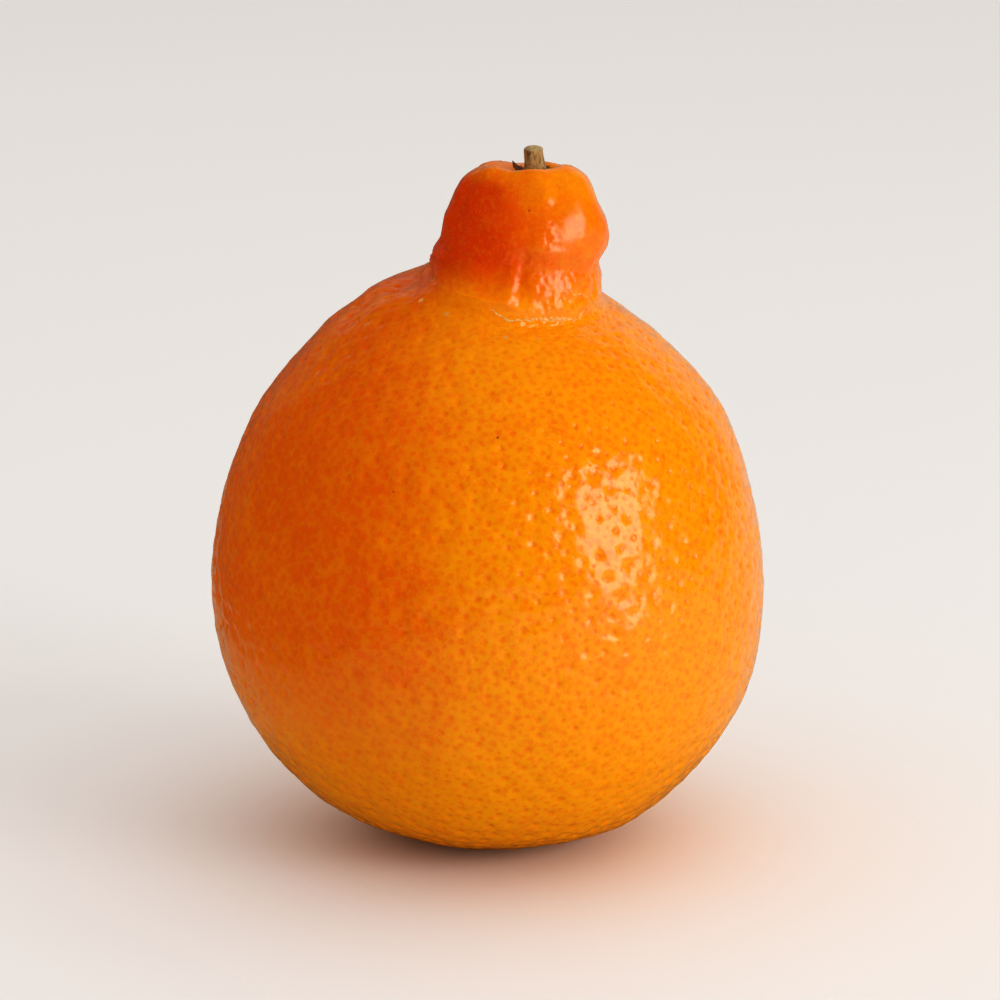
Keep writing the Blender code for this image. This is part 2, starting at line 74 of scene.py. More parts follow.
# %% The outline's points, in millimetres and degrees
FLAT_RADIUS = 6.0
FLAT_HEIGHT = -36.3
RADIUS, HEIGHT, SLIDE_X, SLIDE_Y, TIP_X, TIP_Y = range(6)
OUTLINE = (
    (FLAT_RADIUS, FLAT_HEIGHT, 0.4, 0.0, 0.0, 0.0),
    (10.5, -35.7, 0.7, 0.0, 0.0, 0.0),
    (16.6, -34.0, 0.7, 0.0, 0.3, 0.0),
    (23.9, -30.5, 0.3, 0.0, 0.8, 0.0),
    (30.0, -25.2, 0.1, 0.0, 1.2, 0.0),
    (35.4, -17.7, 0.0, 0.0, 1.6, 0.0),
    (38.9, -8.6, 0.0, 0.0, 2.0, 0.0),
    (39.9, 0.6, 0.1, 0.0, 2.0, 0.0),
    (39.0, 10.0, 0.2, 0.0, 1.6, 0.0),
    (36.7, 19.2, 0.3, 0.0, 1.0, 0.0),
    (33.0, 27.8, 0.4, 0.0, 0.6, 0.0),
    (26.9, 35.1, 0.5, 0.0, 0.8, 0.3),
    (20.9, 40.2, 0.9, -0.3, 1.8, 1.0),
    (16.5, 43.3, 1.6, -1.7, 5.0, 4.5),
    (14.0, 44.7, 2.7, -3.1, 8.0, 7.5),
    (12.4, 46.2, 3.6, -3.8, 8.6, 8.5),
    (11.8, 48.2, 4.0, -4.0, 7.0, 6.0),
    (11.5, 50.2, 4.4, -4.0, 5.0, 3.0),
    (11.6, 52.4, 5.1, -4.0, 2.0, 0.5),
    (11.0, 55.2, 5.3, -4.0, 1.0, 0.0),
    (9.8, 57.8, 5.3, -4.0, 1.0, 0.0),
    (8.8, 59.8, 5.3, -4.0, 1.0, 0.0),
    (7.7, 61.1, 5.3, -4.0, 1.0, 0.0),
    (6.1, 62.1, 5.4, -4.0, 1.0, 0.0),
    (4.4, 62.0, 5.8, -4.0, 1.0, 0.0),
    (3.1, 61.2, 6.4, -4.0, 1.0, 0.0),
    (1.8, 60.6, 6.7, -4.0, 1.0, 0.0),
    (0.0, 60.4, 6.7, -4.0, 1.0, 0.0),
)
OUTLINE_STEPS = 4000
FLAT_STEPS = 200


# %% A smooth curve through the points
def smooth_curve(points, steps):
    """Pass a cubic through each pair of points, with slopes taken from their neighbours.

    The knots are spaced by the square root of the distance between points. At each
    point the slope is the mean of the two stretches beside it, weighted by the other's
    length. The curve is the S-curve mix of two points plus a push along each slope.
    """
    points = np.array(points, dtype=float)
    hops = np.diff(points, axis=0)
    gaps = np.sqrt(np.hypot(hops[:, RADIUS], hops[:, HEIGHT]))[:, None]
    knots = np.concatenate([[0.0], np.cumsum(gaps)])
    rates = hops / gaps
    slopes = np.vstack([rates[:1], np.zeros_like(points[1:-1]), rates[-1:]])
    slopes[1:-1] = (rates[:-1] * gaps[1:] + rates[1:] * gaps[:-1]) / (gaps[:-1] + gaps[1:])
    slopes[-1, HEIGHT] = 0.0
    places = np.linspace(0.0, knots[-1], steps)
    first = np.clip(np.searchsorted(knots, places, "right") - 1, 0, len(gaps) - 1)
    gap = gaps[first]
    part = (places - knots[first])[:, None] / gap
    ease = part * part * (3.0 - 2.0 * part)
    leave = part * (1.0 - part) ** 2 * gap * slopes[first]
    arrive = part * part * (part - 1.0) * gap * slopes[first + 1]
    return points[first] * (1.0 - ease) + points[first + 1] * ease + leave + arrive


# %% The whole outline, from the middle of the flat spot to the bottom of the stem pit
curve = smooth_curve(OUTLINE, OUTLINE_STEPS)
curve[:, RADIUS] = np.maximum(curve[:, RADIUS], 0.0)
curve[-1, RADIUS] = 0.0
flat = np.repeat(curve[:1], FLAT_STEPS, axis=0)
flat[:, RADIUS] = np.linspace(0.0, FLAT_RADIUS, FLAT_STEPS, endpoint=False)
rows = np.vstack([flat, curve])
steps = np.hypot(np.diff(rows[:, RADIUS]), np.diff(rows[:, HEIGHT]))
row_along = np.concatenate([[0.0], np.cumsum(steps)])
row_length = row_along[-1]
normal_out = np.gradient(rows[:, HEIGHT], row_along)
normal_up = -np.gradient(rows[:, RADIUS], row_along)
print("the outline is", round(row_length, 1), "mm long")


# %% Turn the outline
def read(along, column):
    """Look up one column of the outline at distances along it."""
    return np.interp(along, row_along, rows[:, column])


def place(along, azimuth, lift):
    """Turn the outline: x and y are the radius times the cosine and sine of the azimuth.

    The lift is added along the outline's normal, then the slice slides, and tips by the
    tangent of its angle times the distance across.
    """
    radius = read(along, RADIUS) + lift * np.interp(along, row_along, normal_out)
    height = read(along, HEIGHT) + lift * np.interp(along, row_along, normal_up)
    across = radius * np.cos(azimuth)
    back = radius * np.sin(azimuth)
    fall_right = np.tan(np.radians(read(along, TIP_X))) * across
    fall_front = np.tan(np.radians(read(along, TIP_Y))) * back
    x = read(along, SLIDE_X) + across
    y = read(along, SLIDE_Y) + back
    return np.stack([x, y, height - fall_right + fall_front - FLAT_HEIGHT], axis=-1)


# %% [markdown]
# ## Lumps and folds
#
# No real peel is smooth. It swells over the flesh in broad, low waves, the neck has
# knobs and grooves, and a crease runs round its foot. Each of these is a small height
# that is added along the normal, so they can simply be summed. Sculpting would do it
# too, but a sum of formulas is the same each run and can be changed one by one.

# %% Building blocks for small heights
WAVE_COUNT = 12
WAVE_LENGTHS = (0.8, 1.3)
WAVE_DIVISOR = 3.5


def smooth_step(value, low, high):
    """Go from 0 at low to 1 at high on an even S-curve."""
    part = np.clip((value - low) / (high - low), 0.0, 1.0)
    return part * part * (3.0 - 2.0 * part)


def bell(value, centre, width):
    """Rise to 1 at the centre and fall away as e to the minus distance squared."""
    return np.exp(-(((value - centre) / width) ** 2))


def waves(points, length, seed):
    """Sum a dozen sine waves that run in random directions: lumps of about -1 to 1."""
    draw = np.random.default_rng(seed)
    directions = draw.normal(size=(WAVE_COUNT, 3))
    directions /= np.linalg.norm(directions, axis=1)[:, None]
    lengths = length * draw.uniform(*WAVE_LENGTHS, size=WAVE_COUNT)
    phases = draw.uniform(0.0, TURN, size=WAVE_COUNT)
    wave = np.sin(points @ (TURN * directions / lengths[:, None]).T + phases)
    return wave.sum(axis=1) / WAVE_DIVISOR


def add_waves(lift, points, table):
    """Add waves to a lift. Each row of the table is their amount, length and seed."""
    for amount, length, seed in table:
        lift = lift + amount * waves(points, length, seed)
    return lift


def nearest_turn(angle):
    """Bring an angle in radians to within half a turn of zero."""
    return np.arctan2(np.sin(angle), np.cos(angle))


# %% The body's lumps, in millimetres; a pair of numbers is where something sets in
BODY_WAVES = ((0.09, 17.0, 3), (0.045, 8.5, 5))
BODY_FINE_WAVES = ((0.030, 4.4, 21), (0.030, 2.6, 22))
OVAL_LIFT, OVAL_RADII = 0.28, (20.0, 40.0)

# Pleats are two waves round the fruit, multiplied: how many of each, and their turn.
# Here and below, a bell is written as its middle and half its width
PLEATS = ((11.0, 0.8), (3.0, -0.5))
PLEAT_LIFT, PLEAT_HEIGHTS = 0.16, (42.6, 2.4)


def body_lumps(spot, azimuth, height, radius):
    """Broad waves, a slightly oval belly, and pleats that fan out below the neck."""
    lift = add_waves(0.0, spot, BODY_WAVES)
    lift += OVAL_LIFT * np.sin(2.0 * azimuth) * smooth_step(radius, *OVAL_RADII)
    pleats = 1.0
    for count, turn in PLEATS:
        pleats = pleats * np.cos(count * azimuth + turn)
    lift += PLEAT_LIFT * pleats * bell(height, *PLEAT_HEIGHTS)
    return add_waves(lift, spot, BODY_FINE_WAVES)


# %% The neck's smooth knob
KNOB_AZIMUTHS, KNOB_HEIGHTS, KNOB_EDGE = (310.0, 21.0), (56.4, 4.8), (0.10, 0.60)


def on_knob(azimuth, height):
    """Find the smooth knob at the right of the neck: 1 on it, 0 a few millimetres away."""
    across = bell(np.degrees(azimuth) % 360.0, *KNOB_AZIMUTHS)
    return smooth_step(across * bell(height, *KNOB_HEIGHTS), *KNOB_EDGE)


# %% The neck's folds: azimuth, lower and upper height, half width and depth
# A positive depth is a groove, and a negative one a ridge
NECK_FOLDS = (
    (272.0, 46.8, 52.6, 0.55, 0.30),
    (236.0, 58.0, 62.6, 0.50, 0.12),
    (251.0, 60.0, 62.6, 0.40, 0.14),
    (212.0, 56.0, 61.8, 0.90, 0.30),
    (334.0, 46.5, 51.5, 0.80, 0.22),
    (20.0, 53.5, 61.0, 0.90, 0.30),
    (75.0, 47.5, 60.0, 1.00, 0.40),
    (128.0, 50.5, 61.5, 0.80, 0.32),
    (165.0, 46.8, 52.0, 0.80, 0.30),
    (266.0, 45.6, 51.6, 0.9, -0.22),
    (272.0, 51.0, 56.4, 0.4, 0.14),
    (298.0, 50.6, 53.2, 1.0, -0.16),
    (287.0, 57.4, 61.0, 0.8, -0.14),
    (284.0, 46.2, 48.6, 1.2, -0.14),
)

# Fine waves have an amount everywhere and another low on the neck, a length and a seed
NECK_WAVES = ((0.17, 8.0, 8), (0.07, 4.0, 9))
NECK_FINE_WAVES = ((0.030, 0.030, 2.6, 23), (0.010, 0.020, 1.7, 24))
LOW_NECK = (51.0, 54.5)
LOBE_COUNT, LOBE_TURN, LOBE_LIFT, LOBED_HEIGHTS = 5.0, 0.9, 0.16, (50.0, 54.0)
FOLD_END = 1.5

# The waist and the low fold under it: height, half height and lift, then the share of
# the lift all round and how much more of it there is at the right
NECK_BANDS = (
    (50.4, 0.9, -0.27, 0.45, 0.55),
    (48.4, 0.9, 0.12, 0.40, 0.60),
)


def neck_lumps(spot, azimuth, height, radius):
    """Knobs from waves and five lobes, a waist, a fold under it, grooves and ridges."""
    low_neck = 1.0 - smooth_step(height, *LOW_NECK)
    lift = add_waves(0.0, spot, NECK_WAVES)
    for amount, low_amount, length, seed in NECK_FINE_WAVES:
        lift += (amount + low_amount * low_neck) * waves(spot, length, seed)
    lobes = LOBE_LIFT * np.cos(LOBE_COUNT * azimuth + LOBE_TURN)
    lift += lobes * smooth_step(height, *LOBED_HEIGHTS)
    lift *= 1.0 - on_knob(azimuth, height)
    for centre, half_height, amount, all_round, at_right in NECK_BANDS:
        share = all_round + at_right * np.cos(azimuth)
        lift += amount * share * bell(height, centre, half_height)
    for angle, low, high, half_width, depth in NECK_FOLDS:
        sideways = radius * nearest_turn(np.radians(angle) - azimuth)
        begun = smooth_step(height, low, low + FOLD_END)
        ended = smooth_step(height, high - FOLD_END, high)
        lift -= depth * bell(sideways, 0.0, half_width) * (begun * (1.0 - ended))
    return lift


# %% Single swellings and hollows: azimuth and half its width, height and half its, lift
SWELLINGS = (
    (337.0, 50.0, -31.0, 3.0, 0.35),
    (180.0, 38.0, 38.9, 2.0, 0.50),
    (180.0, 38.0, 42.7, 1.7, 0.40),
    (180.0, 30.0, 44.9, 0.9, -1.00),
    (180.0, 30.0, 46.3, 0.6, -1.10),
    (190.0, 25.0, 49.6, 0.8, 0.55),
    (190.0, 40.0, 56.5, 2.6, 0.30),
    (196.0, 26.0, 59.3, 2.4, 0.45),
    (345.0, 26.0, 60.8, 1.8, 0.45),
    (241.0, 30.0, 45.9, 2.0, 1.90),
    (232.0, 24.0, 51.5, 4.0, 0.70),
    (312.0, 30.0, 46.2, 1.1, 0.50),
    (328.0, 22.0, 57.0, 6.5, 0.95),
    (312.0, 28.0, 58.8, 4.6, 0.70),
    (226.0, 24.0, 62.0, 1.2, 0.85),
    (268.0, 30.0, 62.2, 1.1, 0.40),
    (240.0, 12.0, 60.9, 0.4, 0.20),
)


def swellings(azimuth, height):
    """Sum each swelling's lift, fading as a bell round the fruit and up it."""
    lift = 0.0 * height
    for angle, half_angle, centre, half_height, amount in SWELLINGS:
        off = np.degrees(nearest_turn(np.radians(angle) - azimuth))
        lift += amount * bell(off, 0.0, half_angle) * bell(height, centre, half_height)
    return lift


# %% All the relief together
NECK_RISE = (43.5, 47.5)
CREASE_HEIGHTS, CREASE_AZIMUTHS = (45.3, 0.42), (282.0, 27.0)
CREASE_DEPTH, CREASE_FRONT_DEPTH = 0.10, 0.22
BLOSSOM_TURN, BLOSSOM_RADIUS = math.radians(186.0), 10.0
BLOSSOM_PIT, BLOSSOM_RIM = (0.0, 1.3), (2.1, 0.6)
BLOSSOM_DEPTH, BLOSSOM_RIM_LIFT = 0.45, 0.10
FAR_AWAY = 60.0
FLAT_CALM, PIT_CALM = (0.0, 2.5), (3.4, 6.5)

blossom_end = BLOSSOM_RADIUS * np.array([math.cos(BLOSSOM_TURN), math.sin(BLOSSOM_TURN)])


def relief(along, azimuth):
    """Mix the body's and the neck's lumps by height, add the swellings, then press in
    the crease at the neck's foot and the small pit at the blossom end, with its rim."""
    height = read(along, HEIGHT)
    radius = read(along, RADIUS)
    spot = place(along, azimuth, 0.0)
    neck = smooth_step(height, *NECK_RISE)
    at_front = bell(np.degrees(azimuth) % 360.0, *CREASE_AZIMUTHS)
    crease = (CREASE_DEPTH + CREASE_FRONT_DEPTH * at_front) * bell(height, *CREASE_HEIGHTS)
    from_end = np.hypot(spot[:, 0] - blossom_end[0], spot[:, 1] - blossom_end[1])
    from_end = from_end + FAR_AWAY * (height > 0.0)
    lift = body_lumps(spot, azimuth, height, radius) * (1.0 - neck)
    lift += neck_lumps(spot, azimuth, height, radius) * neck
    lift += swellings(azimuth, height) - crease
    rim = BLOSSOM_RIM_LIFT * bell(from_end, *BLOSSOM_RIM)
    lift += rim - BLOSSOM_DEPTH * bell(from_end, *BLOSSOM_PIT)
    calm_base = smooth_step(along - FLAT_RADIUS, *FLAT_CALM)
    return lift * calm_base * smooth_step(row_length - along, *PIT_CALM)


# %% [markdown]
# ## Where the pores go
#
# The peel of a tangelo is full of oil glands, a little over a millimetre apart, and
# each one sinks in as the fruit ripens. A texture of random cells could fake them, but
# a gloss shows every dent, so here each pore is a real dent in the mesh. A spiral that
# turns by the golden angle first spreads the pores evenly. Then they jostle: each has
# its own size, and pores that are too close push one another apart, a few times over.
# That breaks up the spiral's rows and leaves the loose packing of a real peel.

# %% Unroll the peel flat
# The logarithm of this radius is the sum of step over radius: it unrolls the whole
# peel onto a plane with every small circle kept round, so a flat triangulation fits
SMALLEST_RADIUS = 0.05
SAME_POINT = 1e-9


def summed_along(rate):
    """Add up a rate along the outline: its mean over each step, times the step."""
    return np.concatenate([[0.0], np.cumsum(0.5 * (rate[1:] + rate[:-1]) * steps)])


row_stretch = summed_along(1.0 / np.maximum(rows[:, RADIUS], SMALLEST_RADIUS))
row_stretch -= np.interp(FLAT_RADIUS, row_along, row_stretch)


def triangulate(along, azimuth):
    """Join points of the peel into triangles with no other point in their circles."""
    plane_radius = np.exp(np.interp(along, row_along, row_stretch))
    plane = np.stack([plane_radius * np.cos(azimuth), plane_radius * np.sin(azimuth)], axis=1)
    corners = list(map(Vector, plane.tolist()))
    return np.array(delaunay_2d_cdt(corners, [], [], 0, SAME_POINT, False)[2])


# %% Spread the pores
PORE_PITCH = 1.58
NECK_PORE_PITCH = 1.24
PITCH_HEIGHTS = (40.0, 46.0)
PORE_SEED = 7
SIZE_RANGE = (0.70, 1.34)
PORE_SCATTER = 0.22
END_MARGIN = 0.8
SKIPPED_FIRST, SKIPPED_LAST = 2, 3

# A honeycomb cell's area over its pitch squared
HONEYCOMB = 0.866

row_neck = smooth_step(rows[:, HEIGHT], *PITCH_HEIGHTS)
row_pitch = PORE_PITCH + (NECK_PORE_PITCH - PORE_PITCH) * row_neck
row_count = summed_along(TURN * rows[:, RADIUS] / (HONEYCOMB * row_pitch ** 2))
pore_number = np.arange(SKIPPED_FIRST, int(row_count[-1]) - SKIPPED_LAST)
pore_count = len(pore_number)
pore_along = np.interp(pore_number + 0.5, row_count, row_along)
pore_azimuth = pore_number * GOLDEN_ANGLE

draw = np.random.default_rng(PORE_SEED)
pore_size = draw.uniform(*SIZE_RANGE, size=pore_count)
pore_along = pore_along + draw.normal(0.0, PORE_SCATTER * PORE_PITCH, size=pore_count)
pore_wide = np.maximum(read(pore_along, RADIUS), PORE_PITCH)
scatter = draw.normal(0.0, PORE_SCATTER * PORE_PITCH, size=pore_count)
pore_azimuth = pore_azimuth + scatter / pore_wide
pore_along = np.clip(pore_along, END_MARGIN, row_length - END_MARGIN)
print(pore_count, "pores")

# %% Let them jostle
JOSTLES = 6
PUSH = 0.22
SMALLEST_GAP = 0.05
NEAR_POLE = 0.4


def sides_of(triangles):
    """List the three sides of every triangle, each as a pair of points."""
    return np.vstack([triangles[:, [0, 1]], triangles[:, [1, 2]], triangles[:, [2, 0]]])


def neighbours(triangles):
    """List every pair of points that share a triangle's side, once."""
    return np.unique(np.sort(sides_of(triangles), axis=1), axis=0)


def gaps_between(pairs, along, azimuth):
    """Measure each pair over the peel: the radius times the turn, and the way along."""
    first, second = pairs.T
    mean_radius = 0.5 * (read(along[first], RADIUS) + read(along[second], RADIUS))
    radius = np.maximum(mean_radius, NEAR_POLE)
    sideways = nearest_turn(azimuth[second] - azimuth[first]) * radius
    lengthways = along[second] - along[first]
    return sideways, lengthways, np.hypot(sideways, lengthways), radius


for _ in range(JOSTLES):
    pairs = neighbours(triangulate(pore_along, pore_azimuth))
    sideways, lengthways, gap, radius = gaps_between(pairs, pore_along, pore_azimuth)
    wanted = 0.5 * (pore_size[pairs[:, 0]] + pore_size[pairs[:, 1]])
    wanted = wanted * np.interp(pore_along[pairs[:, 0]], row_along, row_pitch)
    push = PUSH * np.maximum(wanted - gap, 0.0) / np.maximum(gap, SMALLEST_GAP)
    for index, sign in ((pairs[:, 0], -1.0), (pairs[:, 1], 1.0)):
        pore_along += np.bincount(index, sign * push * lengthways, pore_count)
        pore_azimuth += np.bincount(index, sign * push * sideways / radius, pore_count)
    pore_along = np.clip(pore_along, END_MARGIN, row_length - END_MARGIN)

pairs = neighbours(triangulate(pore_along, pore_azimuth))
gap = gaps_between(pairs, pore_along, pore_azimuth)[2]
nearest = np.full(pore_count, np.inf)
for index in pairs.T:
    np.minimum.at(nearest, index, gap)
print("nearest pores are", np.percentile(nearest, [1, 50, 99]).round(2), "mm apart")

# %% [markdown]
# Under a lamp, the peel doesn't show one even grid of pores: broad, deep ones stand two
# or three millimetres apart, with small ones between them. So each pore draws a number,
# and the highest among its neighbours becomes a broad one, which leaves its neighbours
# small. A few rounds of that place the broad pores evenly but with no rows.

# %% Choose the broad pores
CHOOSING_ROUNDS = 4
TICKETS = (0.01, 1.0)

is_broad = np.zeros(pore_count, bool)
is_open = np.ones(pore_count, bool)
both_ways = np.vstack([pairs, pairs[:, ::-1]])
for _ in range(CHOOSING_ROUNDS):
    ticket = np.where(is_open, draw.uniform(*TICKETS, size=pore_count), 0.0)
    best_near = np.zeros(pore_count)
    np.maximum.at(best_near, both_ways[:, 0], ticket[both_ways[:, 1]])
    winner = is_open & (ticket > best_near)
    is_broad |= winner
    is_open &= ~winner
    is_open[both_ways[winner[both_ways[:, 0]], 1]] = False
print(is_broad.sum(), "broad pores of", pore_count)

# %% [markdown]
# ## The peel's mesh
#
# Each pore gets a middle point and a ring of seven, and one triangulation joins them all,
# so the whole peel is a single closed skin with nothing floating on it. The middle is
# pressed in deep and the ring a little, which leaves the peel between pores swollen like
# a quilt. On the neck the ring is lifted instead, because there the glands stand up
# round their pores. A UV map called pore holds, inside a ring, the place relative to the
# pore's middle, with the rim at a distance of one. The material reads that distance for
# the fine shape and the colour of a pore, exactly on its dent.

# %% A ring of seven round each pore
RING_SIDES = 7
BROAD_SHARE, SMALL_SHARE = 0.46, 0.42
BROAD_LIMIT, SMALL_LIMIT = 0.64, 0.56
SMALLEST_RING = 0.15
RING_STRETCH = (0.88, 1.12)
RING_CLEAR_OF_ENDS = 1.6
RING_NEAR_POLE = 0.8

ring_radius = np.where(is_broad, BROAD_SHARE, SMALL_SHARE) * nearest
ring_radius = np.minimum(ring_radius, np.where(is_broad, BROAD_LIMIT, SMALL_LIMIT))
clear_of_ends = np.minimum(pore_along, row_length - pore_along) > RING_CLEAR_OF_ENDS
ringed = np.flatnonzero(clear_of_ends & (ring_radius > SMALLEST_RING))
corner = np.arange(RING_SIDES) * TURN / RING_SIDES
start = draw.uniform(0.0, TURN, size=(len(ringed), 1))
stretch = draw.uniform(*RING_STRETCH, size=(len(ringed), RING_SIDES))
ring_turn = start + corner[None, :]
ring_reach = ring_radius[ringed, None] * stretch
ring_wide = np.maximum(read(pore_along[ringed], RADIUS), RING_NEAR_POLE)[:, None]
ring_along = pore_along[ringed, None] + ring_reach * np.sin(ring_turn)
ring_azimuth = pore_azimuth[ringed, None] + ring_reach * np.cos(ring_turn) / ring_wide

along = np.concatenate([[0.0], pore_along, ring_along.ravel()])
azimuth = np.concatenate([[0.0], pore_azimuth, ring_azimuth.ravel()])
owner = np.concatenate([[-1], np.arange(pore_count), np.repeat(ringed, RING_SIDES)])
is_middle = np.arange(len(along)) <= pore_count
ring_corner = np.concatenate([np.zeros(1 + pore_count), np.tile(corner, len(ringed))])
print(len(along), "points")

# %% How deep each pore is, in millimetres, and the range of shares that it draws from
BROAD_DEPTH, BROAD_RANGE = 0.165, (0.55, 1.15)
SMALL_DEPTH, SMALL_RANGE = 0.052, (0.2, 1.5)
NECK_DEPTH, NECK_RANGE = 0.085, (0.5, 1.3)
NECK_PORES = (43.5, 47.0)
RIM_SHARE, NECK_RIM_SHARE = 0.18, -1.10

# Pores fade out in the pit, on the flat spot, high on the neck and on its smooth knob
PIT_FADE = (2.5, 6.0)
FLAT_FADE, FLAT_SHARE = (5.0, 8.0), 0.4
HIGH_NECK, HIGH_NECK_CALM = (53.0, 57.0), 0.35
KNOB_CALM = 0.75

# How strongly each pore shows its gland's colour
TINT_RANGE = (0.45, 1.0)
SMALL_TINT = 0.80

broad_depth = BROAD_DEPTH * draw.uniform(*BROAD_RANGE, pore_count)
small_depth = SMALL_DEPTH * draw.uniform(*SMALL_RANGE, pore_count)
neck_depth = NECK_DEPTH * draw.uniform(*NECK_RANGE, pore_count)
pore_depth = np.where(is_broad, broad_depth, small_depth)
neck_share = smooth_step(read(pore_along, HEIGHT), *NECK_PORES)
pore_depth += neck_share * (neck_depth - pore_depth)

height = read(along, HEIGHT)
knob = on_knob(azimuth, height)
flat_fade = FLAT_SHARE + (1.0 - FLAT_SHARE) * smooth_step(along, *FLAT_FADE)
fade = smooth_step(row_length - along, *PIT_FADE) * flat_fade
fade = fade * (1.0 - HIGH_NECK_CALM * smooth_step(height, *HIGH_NECK)) * (1.0 - KNOB_CALM * knob)
point_depth = np.where(owner >= 0, pore_depth[np.maximum(owner, 0)], 0.0) * fade
on_neck = smooth_step(height, *NECK_PORES) * (1.0 - knob)
rim_share = RIM_SHARE + (NECK_RIM_SHARE - RIM_SHARE) * on_neck
pressed = point_depth * np.where(is_middle, 1.0, rim_share)
gland = np.clip(point_depth / BROAD_DEPTH, 0.0, 1.0)
pore_tint = draw.uniform(*TINT_RANGE, pore_count) * np.where(is_broad, 1.0, SMALL_TINT)
tint = pore_tint[np.maximum(owner, 0)] * fade * (owner >= 0)
print("the deepest pore is", pore_depth.max().round(2), "mm")

# %% [markdown]
# A broad pore also draws the peel round it down, a millimetre out. The peel between the
# broad pores is left swollen like a quilt, and that is what breaks a window's
# reflection into ripples. Each point only has to ask the broad pores beside its own.

# %% Quilt the peel between the broad pores
QUILT_REACH = 0.88
QUILT_DEPTH = 0.185
NECK_QUILT_CALM = 0.85

own = np.arange(pore_count)
asks = np.vstack([both_ways[is_broad[both_ways[:, 1]]], np.column_stack([own, own])[is_broad]])
ring_points = 1 + pore_count + np.arange(RING_SIDES * len(ringed))
members = np.full((pore_count, 1 + RING_SIDES), -1)
members[:, 0] = 1 + own
members[ringed, 1:] = ring_points.reshape(-1, RING_SIDES)
point = members[asks[:, 0]]
broad = np.repeat(asks[:, 1:], 1 + RING_SIDES, axis=1)
wide = np.maximum(read(along[point], RADIUS), NEAR_POLE)
sideways = nearest_turn(azimuth[point] - pore_azimuth[broad]) * wide
distance = np.hypot(sideways, along[point] - pore_along[broad])
pull = QUILT_DEPTH * pore_depth[broad] / BROAD_DEPTH * bell(distance, 0.0, QUILT_REACH)
quilt = np.bincount(point[point >= 0], pull[point >= 0], len(along))
pressed = pressed + quilt * fade * (1.0 - NECK_QUILT_CALM * on_neck)
print("the quilt draws the peel down by up to", quilt.max().round(2), "mm")

# %% Place the points
points = place(along, azimuth, relief(along, azimuth) - pressed)
top = place(np.array([row_length]), np.zeros(1), np.zeros(1))
points = np.vstack([points, top])
shift = 0.5 * (fruit_low + fruit_high) - 0.5 * (points.min(axis=0) + points.max(axis=0))
shift[2] = 0.0
points = points + shift
print("the peel is", (points.max(axis=0) - points.min(axis=0)).round(2), "mm")


# %% Join the points
def close_top(triangles, top_index):
    """Fan the open edge at the top of the unrolled peel to one last point."""
    sides = sides_of(triangles)
    key = np.sort(sides, axis=1)
    _, which, count = np.unique(key, axis=0, return_index=True, return_counts=True)
    edge = sides[which[count == 1]]
    fan = np.column_stack([edge[:, 1], edge[:, 0], np.full(len(edge), top_index)])
    return np.vstack([triangles, fan])


triangles = close_top(triangulate(along, azimuth), len(points) - 1)
triangles = triangles[:, ::-1]
owner = np.append(owner, -1)
is_middle = np.append(is_middle, True)
gland = np.append(gland, 0.0)
tint = np.append(tint, 0.0)
ring_corner = np.append(ring_corner, 0.0)
print(len(triangles), "triangles")

# %% Map each pore
face_owner = owner[triangles]
face_middle = is_middle[triangles]
in_pore = (face_middle.sum(axis=1) == 1) & (face_owner[:, 0] == face_owner[:, 1])
in_pore &= (face_owner[:, 1] == face_owner[:, 2]) & (face_owner[:, 0] >= 0)
turn = ring_corner[triangles]
pore_uv = np.stack([np.cos(turn), np.sin(turn)], axis=-1)
pore_uv[face_middle] = 0.0
pore_uv[~in_pore] = (1.0, 0.0)
print("pores with all their sides", int(in_pore.sum() / RING_SIDES), "of", len(ringed))

# %% [markdown]
# ## The scar at the foot of the neck
#
# Where the neck meets the shoulder, the peel folds over on itself, and the fold has
# healed as a thin corky line. A line painted point by point would be as coarse as the
# mesh. So each point stores how far above the line it lies: that number runs straight
# across each triangle, and the material draws the line where it passes through zero. A
# second, fainter line climbs the right of the foot in the same way.

# %% The scar's azimuth in degrees, its height and how strongly it shows
SCAR_LINE = (
    (258.0, 45.2, 0.0),
    (262.5, 45.0, 0.8),
    (267.0, 44.8, 1.0),
    (272.0, 44.6, 1.0),
    (278.0, 44.8, 0.8),
    (282.0, 45.1, 0.9),
    (288.0, 45.3, 0.7),
    (297.6, 45.4, 0.9),
    (309.0, 44.95, 0.8),
    (316.0, 45.1, 0.6),
    (323.0, 45.7, 0.0),
)
FAINT_LINE = (
    (300.0, 48.35, 0.0),
    (305.0, 48.25, 0.7),
    (310.5, 48.2, 0.9),
    (317.5, 47.75, 0.8),
    (323.0, 47.4, 0.6),
    (332.0, 46.5, 0.8),
    (340.0, 45.5, 0.6),
    (352.0, 44.6, 0.0),
)


# %% Make the peel
def add_object(name, data):
    """Put a mesh, a camera or a light in the scene under a name."""
    made = bpy.data.objects.new(name, data)
    bpy.context.scene.collection.objects.link(made)
    return made


def make_piece(name, places, faces):
    """Make a smooth-shaded object from places in millimetres, with its origin at zero."""
    mesh = bpy.data.meshes.new(name)
    mesh.from_pydata((places * MM).tolist(), [], faces)
    mesh.shade_smooth()
    return add_object(name, mesh)


def store(mesh, name, values):
    """Keep one number for each point of a mesh, for a material to read."""
    mesh.attributes.new(name, "FLOAT", "POINT").data.foreach_set("value", values.astype(np.float32))


